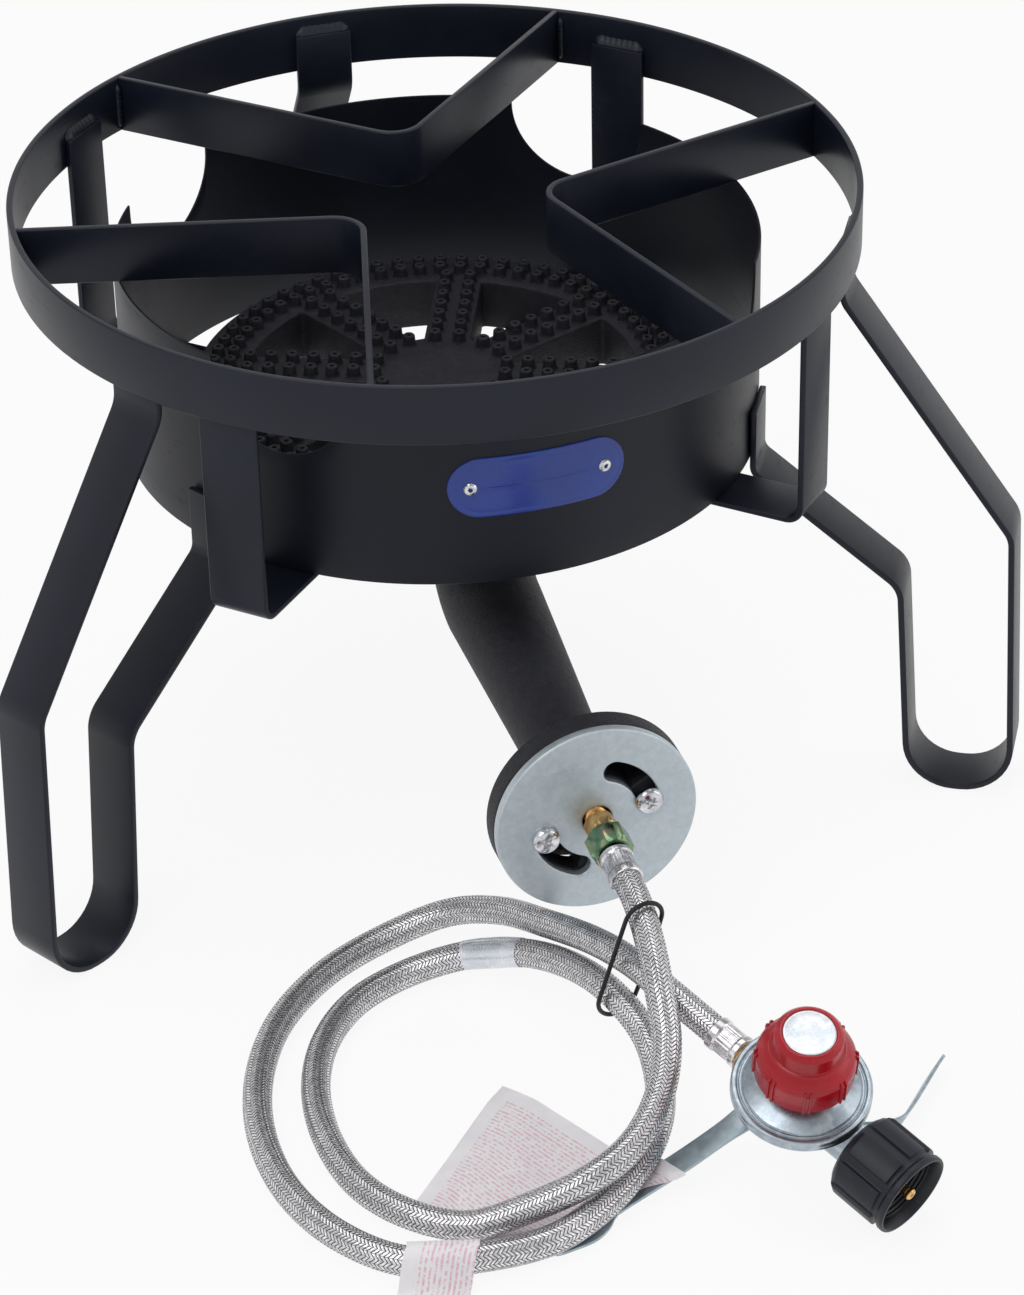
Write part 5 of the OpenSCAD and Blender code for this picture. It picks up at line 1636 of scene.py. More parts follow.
@dataclass
class Burner:
    """The cast burner head with its port studs and the venturi that feeds it.

    Args:
        radius: The head's radius.
        ring_w: The width of its outer gas ring.
        hub: The hub's radius.
        spoke_w: The width of a spoke.
        low: The level of its base.
        deck: The level of its top face.
        seed: The seed for the casting's small irregularities.
    """

    radius: float = 125.0
    ring_w: float = 26.0
    hub: float = 35.0
    spoke_w: float = 24.0
    low: float = 185.0
    deck: float = 212.0
    seed: int = 7

    def window(self, degrees: float, front: bool) -> Outline:
        """Gives the outline of one gap between two spokes.

        Args:
            degrees: The gap's angle.
            front: Whether the throat's boss fills its inner part.

        Returns:
            The outline.
        """
        outer, half, turn = self.radius - self.ring_w, self.spoke_w / 2, math.radians(22.5)
        far = math.degrees(turn - math.asin(half / outer))
        near = math.degrees(turn - math.asin(half / self.hub))
        rim = arc((0, 0), outer, -far, far, 13)
        if front:
            centre, r = (58.0, 0.0), 29.0
            run = 80.74
            top = math.degrees(math.atan2(0.3827 * run - 11.087, 0.9239 * run + 4.592 - centre[0]))
            line = ends_eased(rim, 2.5) + ends_eased(arc(centre, r, top, -top, 13), 2.0)
        else:
            inner = arc((0, 0), self.hub + 2.5, near + 1.2, -near - 1.2, 4)
            line = ends_eased(rim, 4.5) + ends_eased(inner, 2.2)
        flat = rounded(line, 5, True)
        return [spun(x, y, degrees) for x, y in flat]

    def head(self) -> Piece:
        """Makes the head: a plate as thick as the casting with eight gaps through it.

        Returns:
            The head, without its studs.
        """
        outline = arc((0, 0), self.radius, 0, 357.5, 144)
        holes = [self.window(-90 + 45 * i, i == 0) for i in range(8)]
        return plate("head", outline, holes, self.low, self.deck, 1.3, 3)

    def stud_places(self) -> Outline:
        """Lists the places of the studs: two rows round the ring and two down each spoke.

        Returns:
            The places.
        """
        out = []
        for r in (self.radius - 9.5, self.radius - 17.7):
            out += [(r * math.cos(i * TAU / 64), r * math.sin(i * TAU / 64)) for i in range(64)]
        for spoke in range(8):
            for side in (-6.2, 6.2):
                runs = np.linspace(self.hub - 2, 97.8, 7)
                out += [spun(run, side, -67.5 + 45 * spoke) for run in runs]
        return out

    def studs(self) -> Piece:
        """Makes the studs, each with its gas port and a slightly different casting.

        Returns:
            All the studs as one mesh.
        """
        rng = np.random.default_rng(self.seed)
        profile = np.array(rounded([
            (4.3, -0.2), (3.45, 0.7, 0.9), (3.1, 5.4, 0.7), (2.5, 6.0, 0.3), (1.5, 6.0, 0.3),
            (1.15, 5.5, 0.2), (1.05, 1.0, 0.2), (0.0, 0.8)
        ], 2))
        sides = 20
        angles = np.linspace(0, TAU, sides, endpoint=False)
        ring = np.stack([np.cos(angles), np.sin(angles)], 1)
        rows, faces = [], []
        per = len(profile) * sides
        template = grid_faces(len(profile), sides)
        for x, y in self.stud_places():
            grow = 1.0 + rng.normal(0, 0.025)
            tall = 1.0 - abs(rng.normal(0, 0.02))
            wobble = 1.0 + 0.02 * np.cos(angles * 2 + rng.uniform(0, TAU))
            base = len(rows) * per
            block = []
            for r, z in profile:
                outer = r * (grow * wobble if r > 2 else np.ones(sides))
                block.append(np.column_stack([x + outer * ring[:, 0], y + outer * ring[:, 1],
                                              np.full(sides, self.deck + z * tall)]))
            rows.append(np.concatenate(block))
            faces.extend(tuple(base + i for i in f) for f in template)
        return add_mesh("studs", np.concatenate(rows), faces, 50)

    def venturi_line(self) -> tuple[np.ndarray, np.ndarray]:
        """Gives the venturi's middle line from the head to the flange, and its radius at each point.

        Returns:
            The line's points and their radii.
        """
        bend, z = 30.0, FLANGE_Z + 183.0 * math.tan(SLOPE)
        back = bend * (1 - math.sin(SLOPE)) / math.cos(SLOPE)
        points = [(0.0, -58.0, h) for h in np.linspace(186.5, z + back, 8)]
        centre = (-58.0 - bend, z + back)
        for t in np.linspace(0, 90 - 9, 18)[1:]:
            a = math.radians(-t)
            points.append((0.0, centre[0] + bend * math.cos(a), centre[1] + bend * math.sin(a)))
        last = np.array(points[-1])
        end_s = -17.6
        tail = SHUTTER_FRONT + end_s * SLOPE_OUT
        straight = [last + (tail - last) * k / 40 for k in range(1, 41)]
        line = np.array(points + straight)
        radii = []
        run = np.linalg.norm(last - (SHUTTER_FRONT - 36.0 * SLOPE_OUT))
        for k, p in enumerate(line):
            s = float((p - SHUTTER_FRONT) @ SLOPE_OUT)
            if k < len(points):
                radii.append(25.0)
            elif s < -36.0:
                share = float(np.linalg.norm(p - last)) / run
                radii.append(25.0 + (18.5 - 25.0) * share)
            else:
                share = (s + 36.0) / 18.4
                radii.append(18.5 + 20.0 * share**1.25)
        return line, np.array(radii)

    def venturi(self) -> Piece:
        """Makes the tube with its elbow and flare, as a shell with a bore.

        Returns:
            The tube.
        """
        line, radii = self.venturi_line()
        normals, across = carried_frames(line, (1, 0, 0), (0, 0, -1), SLOPE_OUT)
        angles = np.linspace(0, TAU, 72, endpoint=False)
        cos, sin = np.cos(angles)[:, None], np.sin(angles)[:, None]
        there = range(len(line))
        rows = []
        for wall, order in ((0.0, there), (3.6, reversed(there))):
            rows += [line[i] + (radii[i] - wall) * (cos * normals[i] + sin * across[i]) for i in order]
        return add_mesh("venturi", np.concatenate(rows), grid_faces(2 * len(line), 72, True, True), 50)

    def boss(self) -> Piece:
        """Makes the thick collar where the tube enters the head.

        Returns:
            The collar.
        """
        profile = rounded([
            (25.2, 178.0), (27.5, 181.5, 3), (29.0, 185.5, 1.5), (29.0, 187.5, 0.5), (20.0, 187.5)
        ], 4)
        return place(turned("boss", profile, 72), (0, -58.0, 0))

    def flange(self) -> Piece:
        """Makes the round flange with its two air windows and the hole for the orifice.

        Returns:
            The flange.
        """
        outline = arc((0, 0), 50.0, 0, 357, 120)
        holes = [arc((0, 0), 6.4, 0, 350, 36)]
        for turn in (0, 180):
            outer = arc((0, 0), 31.5, turn + 30, turn + 74, 15)
            inner = arc((0, 0), 21.5, turn + 74, turn + 30, 15)
            holes.append(rounded(ends_eased(outer, 1.2) + ends_eased(inner, 1.2), 3, True))
        return facing(plate("flange", outline, holes, 0.0, 12.0, 1.0, 3), 223.95)

    def build(self) -> None:
        """Makes the casting as one piece."""
        parts = [self.head(), self.studs(), self.venturi(), self.boss(), self.flange()]
        dress(joined("burner_casting_ported", parts, 45), "casting", "burner_casting")


@dataclass
class Shutter:
    """The air shutter and its two screws.

    Args:
        radius: The shutter's radius.
        thick: Its thickness.
        slot_r: The radius of the slots' middle line.
        slot_w: The slots' width.
        first: The angle of the first screw.
        sweep: The angle from one end of a slot to the other.
    """

    radius: float = 50.0
    thick: float = 5.0
    slot_r: float = 26.5
    slot_w: float = 11.0
    first: float = 12.0
    sweep: float = 58.0

    def slot(self, turn: float) -> Outline:
        """Gives the outline of one curved slot.

        Args:
            turn: How far it is from the first slot, in degrees.

        Returns:
            The outline.
        """
        a0, a1, half = self.first + turn, self.first + turn + self.sweep, self.slot_w / 2
        ends = [spun(self.slot_r, 0.0, a) for a in (a0, a1)]
        line = arc((0, 0), self.slot_r + half, a0, a1, 22)
        line += arc(ends[1], half, a1, a1 + 180, 14)[1:-1]
        line += arc((0, 0), self.slot_r - half, a1, a0, 22)
        line += arc(ends[0], half, a0 + 180, a0 + 360, 14)[1:-1]
        return line

    def disc(self) -> Piece:
        """Makes the shutter: a pressed plate with a rolled rim, a centre hole and two slots.

        Returns:
            The shutter.
        """
        outline = arc((0, 0), self.radius, 0, 357.5, 144)
        holes = [arc((0, 0), 7.2, 0, 352.5, 48), self.slot(0), self.slot(180)]
        return facing(plate("air_shutter_plate", outline, holes, 0.0, self.thick, 0.9, 4), 236.0)

    def screw(self, turn: float) -> Piece:
        """Makes a pan-head screw with a cross recess.

        Args:
            turn: The turn of its recess, in degrees.

        Returns:
            The screw.
        """
        sides = 96
        base = 4.2
        dome = [(r, base - 1.35 * (r / 7.0) ** 2 - (1.6 * max(0.0, (r - 5.4) / 1.6) ** 2.2)) for r in
                np.concatenate([np.linspace(0.0, 4.4, 34), np.linspace(4.5, 7.0, 18)])]
        rows = []
        for r, z in reversed(dome):
            for a in np.linspace(0, TAU, sides, endpoint=False):
                x, y = r * math.cos(a + 0.5), r * math.sin(a + 0.5)
                near, far = min(abs(x), abs(y)), max(abs(x), abs(y))
                arm = 0.75 + 0.25 * max(0.0, 1 - far / 3.4)
                cut = max(0.0, min(1.0, (arm - near) / 0.28)) * max(0.0, min(1.0, (3.5 - far) / 0.5))
                hub = max(0.0, min(1.0, (1.5 - r) / 0.5)) * 0.5
                rows.append((r * math.cos(a), r * math.sin(a), z - (1.5 - far * 0.18) * cut - hub * cut))
        under = [(7.0, 0.95), (6.8, 0.1), (3.0, 0.05), (3.0, -13.9), (0.0, -13.9)]
        lower = [(r * math.cos(a), r * math.sin(a), z) for r, z in reversed(under)
                 for a in np.linspace(0, TAU, sides, endpoint=False)]
        points = np.array(lower + rows)
        piece = add_mesh("screw", points, grid_faces(len(points) // sides, sides), 40)
        place(piece, (*spun(self.slot_r, 0.0, self.first + turn), 0.0))
        return facing(piece, 241.0)

    def build(self) -> None:
        """Makes the shutter and its screws."""
        dress(self.disc(), "shutter_zinc", "air_shutter", Body.SHUTTER)
        screws = joined("shutter_screws_pan", [self.screw(t) for t in (0, 180)], 40)
        dress(screws, "screw_zinc", "shutter_screws")


# Gas fittings and regulator


@dataclass
class BurnerFittings:
    """The orifice fitting in the shutter's middle and the flare nut on it.

    Args:
        orifice_flats: The orifice fitting's hexagon across its flats.
        nut_flats: The flare nut's hexagon across its flats.
    """

    orifice_flats: float = 14.0
    nut_flats: float = 19.0

    def orifice(self) -> Piece:
        """Makes the brass fitting: a threaded spud, a hexagon and a flare seat.

        Returns:
            The fitting.
        """
        thread = [(5.9 - 0.45 * (k % 2), -18.9 + 0.5 * k) for k in range(0, 38)]
        profile = [(0.0, -19.0), (5.0, -19.0), *thread, (6.0, 0.4), (7.0, 1.6)]
        profile += [(7.0, 1.8), (8.3, 2.6), (8.3, 9.0), (7.1, 9.8), (6.4, 10.4), (6.4, 11.2), (5.4, 11.5),
                    (5.4, 17.8), (4.6, 17.8), (2.4, 16.4), (2.4, 12.0), (0.0, 12.0)]
        cut = hexagon(self.orifice_flats)
        piece = turned("orifice_fitting_brass", profile, 120, 28,
                       lambda r, a, z: cut(r, a, z) if 1.7 < z < 9.9 and r > 6.5 else r)
        return on_slope(piece)

    def nut(self) -> Piece:
        """Makes the flare nut, chamfered at both ends.

        Returns:
            The nut.
        """
        high = 13.0
        profile = [(5.5, 0.0), (8.6, 0.0), (9.3, 0.15), (11.2, 1.35), (11.2, 10.9), (9.5, 12.75), (8.9, high),
                   (6.4, high), (5.6, high - 0.8), (3.7, high - 1.1), (3.7, 9.2), (5.5, 9.1), (5.5, 0.0)]
        cut = hexagon(self.nut_flats)
        piece = turned("flare_nut_hex", profile, 120, 22, lambda r, a, z: cut(r, a, z) if r > 8.0 else r)
        return on_slope(piece, 11.8)

    def build(self) -> None:
        """Makes both fittings."""
        dress(self.orifice(), "brass", "orifice_fitting")
        dress(self.nut(), "yellow_zinc", "flare_nut")


@dataclass
class Regulator:
    """The regulator's case, its knob and its inlet.

    Args:
        rim_r: The radius of the case's crimped rim. Not used.
        rim_z: The level of the rim in the regulator's frame.
        knob_r: The radius of the knob's skirt.
        knob_low: The level of the skirt's lower edge.
        knob_high: The level of the knob's top.
        ribs: How many pairs of ribs the knob has.
    """

    rim_r: float = 32.25
    rim_z: float = 9.2
    knob_r: float = 22.75
    knob_low: float = 25.0
    knob_high: float = 55.0
    ribs: int = 8

    def outlet(self) -> Piece:
        """Makes the outlet's brass fitting with its beaded collars.

        Returns:
            The fitting.
        """
        profile = rounded([
            (2.4, 0.0), (5.1, 0.0), (8.4, 0.0, 0.4), (9.0, 0.5, 0.4), (9.0, 1.3, 0.4), (8.3, 1.7, 0.3),
            (7.0, 1.9, 0.2), (7.0, 8.0), (5.5, 8.0), (5.5, 15.8), (2.4, 15.8), (2.4, 0.0)
        ], 3)
        return on_regulator(turned("outlet_fitting_brass", profile, 72), (18.4, 0, 0), True)

    def bowl(self) -> Piece:
        """Makes the lower case with its two bosses, its ribs and the flange under the rim.

        Returns:
            The lower case.
        """
        high = self.rim_z + 1.8
        profile = rounded([
            (0.0, -13.0), (16.5, -13.0, 1.2), (19.0, -10.5, 1.6), (25.75, 7.2, 1.6), (30.65, 7.9, 0.4),
            (31.25, 8.4, 0.3), (31.25, high, 0.2), (0.0, high)
        ], 4)
        case = place(turned("case", profile, 128), (REG_X, 0, 0))
        inlet = rounded([
            (0.0, 0.0), (9.5, 0.0), (9.5, 30.5, 0.8), (8.9, 32.0, 0.5), (8.4, 34.0, 0.3), (0.0, 34.0)
        ], 3)
        outlet = rounded([
            (0.0, 0.0), (8.6, 0.0, 0.3), (9.2, 0.6, 0.3), (9.2, 26.0), (0.0, 26.0)
        ], 3)
        parts = [case, place(turned("inlet", inlet, 64), (REG_X, 0, 0), ALONG_X),
                 place(turned("outlet", outlet, 64), (26.4, 0, 0), ALONG_X)]
        for turn in (62, 118, 242, 298):
            path = in_plane(((19.9, -8.0), (23.2, 1.0), (25.3, 6.4), (28.4, 7.4)), turn)
            parts.append(ring_tube("rib", path + [REG_X, 0, 0], 1.1, 10))
        return place(joined("regulator_body_cast", parts, 40), REG_AT, REG_TURN)

    def bonnet(self) -> Piece:
        """Makes the upper case: the rolled rim, the flat shoulder and the neck.

        Returns:
            The upper case.
        """
        top = self.rim_z + 4.4
        profile = rounded([
            (28.25, 11.8), (31.25, 11.8, 0.1), (31.25, 8.0, 0.2), (31.95, 8.0, 0.2), (32.25, 8.4, 0.3),
            (32.25, 9.8, 0.2), (31.85, 10.2, 0.2), (32.25, 10.6, 0.2), (32.25, top - 0.9, 0.9),
            (31.5, top, 0.8), (29.85, top, 0.5), (29.1, top - 0.95, 0.15), (28.75, top - 0.95, 0.15),
            (28.35, top - 0.2, 0.4), (27.6, top - 0.2, 0.2), (27.2, top - 0.5, 0.1),
            (26.85, top + 0.4, 0.4), (17.0, top + 4.2, 1.6), (14.0, top + 6.4, 1.2), (14.0, 37.2, 0.6),
            (4.05, 37.2), (4.05, 32.2), (11.5, 30.7), (11.5, top + 3.6), (21.25, top + 0.8), (26.25, 12.2),
            (26.25, 11.8), (28.25, 11.8)
        ], 3)
        return on_regulator(turned("regulator_bonnet_pressed", profile, 144), (REG_X, 0, 0))

    def rib(self, line: Outline, a: float, section: Outline, ease: float) -> Piece:
        """Makes one upright rib on the knob's skirt.

        Args:
            line: The rib's distance from the axis and its height, from end to end.
            a: Its angle about the axis, in radians.
            section: The outline of its section.
            ease: How far its ends' edges are rounded.

        Returns:
            The rib, in the knob's own frame.
        """
        path = np.array([(r * math.cos(a), r * math.sin(a), z) for r, z in line])
        return swept_bar("rib", path, section, lambda i, t: (-math.sin(a), math.cos(a), 0.0), ease)

    def knob(self) -> Piece:
        """Makes the knob: a ribbed skirt, a sloping shoulder and a step with a recess for its disc.

        Returns:
            The knob.
        """
        r, low, high = self.knob_r, self.knob_low, self.knob_high
        step_z = low + 19.0
        profile = rounded([
            (15.6, low + 0.6), (20.55, low, 0.5), (r, low, 0.4), (r, step_z - 7.0, 1.0),
            (r - 1.0, step_z - 4.6, 1.2), (r - 3.2, step_z - 2.2, 1.4), (17.6, step_z - 0.5, 0.5),
            (17.2, step_z + 0.3, 0.3), (16.1, step_z + 0.7, 0.6), (15.75, high - 2.4, 1.1),
            (13.6, high, 0.8), (12.5, high, 0.4), (12.05, high - 0.75, 0.1), (0.0, high - 0.8),
            (0.0, 49.0), (4.05, 49.0), (4.05, 42.6), (15.6, 42.6), (15.6, low + 0.6)
        ], 4)
        parts = [turned("knob", profile, 192)]
        for i in range(self.ribs):
            for side in (-1, 1):
                a = i * TAU / self.ribs + side * 0.056
                line = [(r - 0.1, z) for z in np.linspace(low + 0.3, step_z - 6.4, 12)]
                line.append((r - 1.2, step_z - 5.3))
                parts.append(self.rib(line, a, bar_section(1.1, 2.2, 0.3, 3), 0.3))
            line = [(r - 0.4, z) for z in np.linspace(low + 0.3, step_z - 6.9, 8)]
            parts.append(self.rib(line, i * TAU / self.ribs, bar_section(2.3, 1.4, 0.25, 2), 0.2))
        return on_regulator(joined("regulator_knob_ribbed", parts, 35), (REG_X, 0, 0))

    def disc(self) -> Piece:
        """Makes the bare foil disc, very slightly dished.

        Returns:
            The disc.
        """
        profile = [(0.0, 0.0), (11.9, 0.0), (12.0, 0.12), (12.0, 0.42), (11.8, 0.58), (11.2, 0.6),
                   (10.8, 0.52), (7.0, 0.47), (3.5, 0.45), (0.0, 0.44)]
        return on_regulator(turned("knob_disc_foil", profile, 96, 45), (REG_X, 0, self.knob_high - 0.8))

    def nipple(self) -> Piece:
        """Makes the inlet's brass nose with its flange, its seal's groove, its waist and its tip.

        Returns:
            The nose.
        """
        f, tip = 99.1, 121.4
        profile = rounded([
            (2.2, 72.6), (5.5, 72.6), (5.5, 86.6), (7.0, 86.6), (7.0, f, 0.2), (11.0, f, 0.4),
            (11.0, f + 3, 0.5), (8.2, f + 3, 0.2), (8.2, f + 4.2, 0.2), (7.0, f + 4.2, 0.2),
            (7.0, f + 6.6, 0.2), (8.2, f + 6.6, 0.2), (8.2, f + 8.6, 0.6), (5.4, f + 11.2, 0.5),
            (3.6, f + 11.6, 0.2), (3.6, tip - 9.0, 0.2), (4.9, tip - 8.6, 0.3), (4.9, tip - 6.8, 0.3),
            (4.5, tip - 6.4, 0.2), (2.2, tip - 6.4, 0.2), (2.2, tip - 2.8, 0.2), (2.9, tip - 2.4, 0.3),
            (2.9, tip - 0.8, 0.4), (2.2, tip, 0.3), (1.1, tip, 0.2), (1.1, f + 12.0), (2.2, f + 10.0),
            (2.2, 72.6)
        ], 3)
        return on_regulator(turned("inlet_nipple_brass", profile, 96), (0, 0, 0), True)

    def seal(self) -> Piece:
        """Makes the nose's rubber ring."""
        profile = arc((8.0, 104.5), 1.0, 0, 360, 21)
        return on_regulator(turned("probe_seal_ring", profile, 64, 60), (0, 0, 0), True)

    def build(self) -> None:
        """Makes the regulator's pieces."""
        dress(self.outlet(), "brass", "outlet_fitting")
        dress(self.bowl(), "regulator_zinc", "regulator_body")
        dress(self.bonnet(), "regulator_zinc", "regulator_bonnet")
        dress(self.knob(), "knob_red", "regulator_knob", Body.KNOB)
        dress(self.disc(), "knob_foil", "knob_disc", Body.KNOB)
        dress(self.nipple(), "brass", "inlet_nipple")
        dress(self.seal(), "rubber", "probe_seal")


@dataclass
class CouplingNut:
    """The black hand nut for the gas cylinder.

    Args:
        radius: The nut's largest radius.
        length: Its length.
        start: Where it starts along the regulator's X axis.
        bore: The radius of its bore.
        lobes: How many finger lobes it has.
    """

    radius: float = NUT_R
    length: float = 33.0
    start: float = 88.8
    bore: float = 17.0
    lobes: int = 8

    def shape(self, r: float, a: float, z: float) -> float:
        """Cuts the outside to broad lobes with narrow hollows between them and an even lip at the mouth.

        Args:
            r: The uncut radius.
            a: The angle, in radians.
            z: The place along the axis.

        Returns:
            The cut radius.
        """
        if r <= self.bore + 1.6 or z > self.length - 5.4:
            return r
        off = abs(((a / TAU * self.lobes) % 1.0) - 0.5) * TAU / self.lobes * self.radius
        share = max(0.0, min(1.0, (6.0 - off) / 0.7 + 0.5))
        share = share * share * (3 - 2 * share)
        ends = max(0.0, min(1.0, (self.length - 6.2 - z) / 0.6))
        return r - (1.0 - share * ends) * min(1.6, max(0.0, r - (self.radius - 1.75)))

    def build(self) -> None:
        """Makes the nut."""
        wall = 5.0
        r, n = self.radius, self.length
        thread = [(self.bore - (0.5 if k % 2 else 0.0), n - 5.0 - k * 0.95) for k in range(18)]
        profile = rounded([
            (13.0, 0.0), (r - 4.0, 0.0, 0.6), (r - 3.4, 0.5, 0.6), (r - 1.3, 2.0, 0.8),
            (r - 0.15, 4.0, 0.6), (r - 0.1, 6.0)
        ], 3)
        profile += [(r - 0.1, z) for z in np.linspace(8.0, n - 7.4, 8)]
        profile += [(r - 0.15, n - 6.9), (r - 0.4, n - 6.3), (r - 1.75, n - 6.0)]
        profile += rounded([
            (r - 1.75, n - 5.0), (r - 1.7, n - 4.4, 0.4), (r - 0.65, n - 3.1, 0.5),
            (r - 0.6, n - 1.0, 0.6), (r - 1.0, n, 0.5), (r - 2.2, n, 0.3), (self.bore, n - 4.5)
        ], 3)
        profile += thread
        profile += [(self.bore, 2 * wall + 0.6), (self.bore - 0.6, 2 * wall), (7.35, 2 * wall), (7.35, wall),
                    (12.6, wall), (13.0, wall - 0.4), (13.0, 0.0)]
        piece = turned("coupling_nut_lobed", profile, 240, 38, self.shape)
        dress(on_regulator(piece, (self.start, 0, 0), True), "nut_black", "coupling_nut", Body.COUPLING)


# Strip and tag


@dataclass
class SteelStrip:
    """The bent steel strip under the regulator, with a small hole in its raised end.

    Args:
        width: The strip's width.
        thick: Its thickness.
    """

    width: float = 13.0
    thick: float = 1.5

    def stations(self) -> list[tuple[np.ndarray, float, float, bool]]:
        """Lists the stations that the strip passes through.

        Returns:
            Each one's place, half width, turn in degrees and whether it follows the case.
        """
        hold = REG_AT + np.array(REG_TURN @ Vector((REG_X - 13.0, -5.0, -14.5)))
        h = self.width / 2

        def beside(dx: float, dy: float) -> np.ndarray:
            """Gives a place on the case's plane beside the held end."""
            return hold + np.array([dx, dy, -(REG_UP[0] * dx + REG_UP[1] * dy) / REG_UP[2]])

        first = [(-87.1, -421.8, 0, 1.8), (-86.2, -421.6, 0, 4), (-83.7, -421.1, 0, 6), (-78.3, -420.1, 0, h),
                 (-66.6, -417.6, 0, h), (-59.4, -412.6, 0, h), (-53.7, -405.8, 0, h), (-46, -402, 0.8, h),
                 (-15.6, -397.6, 11, h), (8, -394, 20.4, h)]
        out = [(np.array(p[:3], float), p[3], 0.0, False) for p in first]
        out += [(beside(-9, -1.4), h, 0.0, True), (beside(9, 1.4), h, 0.0, True)]
        rest = [(51, -389.5, 20.8, h, 0), (62, -392, 13.6, h, -12), (72, -395.5, 10, h, -35),
                (83, -399, 7.6, h, -56), (92, -399, 6.7, h, -65), (99, -393.4, 6.6, h, -65),
                (108, -384, 6.6, h, -65), (118, -373.2, 6.6, h, -65), (126, -364.8, 6.6, 6, -65),
                (128.8, -362.2, 6.6, 4.6, -65), (130, -361.1, 6.6, 2.2, -65)]
        out += [(np.array(p[:3], float), p[3], float(p[4]), False) for p in rest]
        return out

    def drill(self, piece: Piece) -> None:
        """Cuts the small hole through the strip's raised end.

        Args:
            piece: The strip.
        """
        turn = math.radians(-65)
        side = unit(np.array([370 - 393.4, 121 - 99, 0.0]))
        face = -math.sin(turn) * side + np.array([0, 0, math.cos(turn)])
        drill = turned("drill", [(0.0, -4.0), (1.5, -4.0), (1.5, 5.0), (0.0, 5.0)], 24)
        place(drill, (121.0, -370.0, 6.9), Vector(face).to_track_quat("Z", "Y").to_matrix())
        cut = piece.modifiers.new("hole", "BOOLEAN")
        cut.object, cut.operation, cut.solver = drill, "DIFFERENCE", "EXACT"
        shown = piece.evaluated_get(bpy.context.evaluated_depsgraph_get())
        mesh = bpy.data.meshes.new_from_object(shown)
        piece.modifiers.clear()
        piece.data = mesh
        bpy.data.objects.remove(drill)

    def build(self) -> None:
        """Makes the strip by sweeping its rounded section through the stations."""
        stations = self.stations()
        mid = np.array([s[0] for s in stations])
        tangents = np.gradient(mid, axis=0)
        keyed = []
        for (p, half, turn, held), t in zip(stations, tangents):
            t = unit(t)
            side0 = unit(np.cross(REG_UP if held else (0, 0, 1), t))
            up0 = np.cross(t, side0)
            a = math.radians(turn)
            side = math.cos(a) * side0 + math.sin(a) * up0
            lift = -math.sin(a) * side0 + math.cos(a) * up0
            keyed.append(np.concatenate([p, side, lift, [half]]))
        keyed = np.array(keyed)
        rows = []
        count = 0
        last = len(keyed) - 2
        for i in range(last + 1):
            parts = 2 if i < 3 or i > 18 else 6
            before, after = keyed[max(i - 1, 0)], keyed[min(i + 2, last + 1)]
            for k in range(parts + (1 if i == last else 0)):
                t = k / parts
                a, b = keyed[i], keyed[i + 1]
                if i in (10, last):
                    row = (1 - t) * a + t * b
                else:
                    row = spline(before, a, b, after, t)
                p, side, lift, half = row[:3], unit(row[3:6]), unit(row[6:9]), float(row[9])
                p[2] = max(p[2], 0.0)
                half = min(half, self.width / 2) - 0.02
                section = bar_section(2 * half, self.thick, 0.3)
                count = len(section)
                rows.extend(p + x * side + (y + self.thick / 2 + 0.02) * lift for x, y in section)
        piece = add_mesh("steel_strip_bent", np.array(rows), capped_faces(len(rows) // count, count), 40)
        self.drill(piece)
        piece.data.shade_smooth()
        piece.data.set_sharp_from_angle(angle=math.radians(40))
        dress(piece, "strip_zinc", "steel_strip")


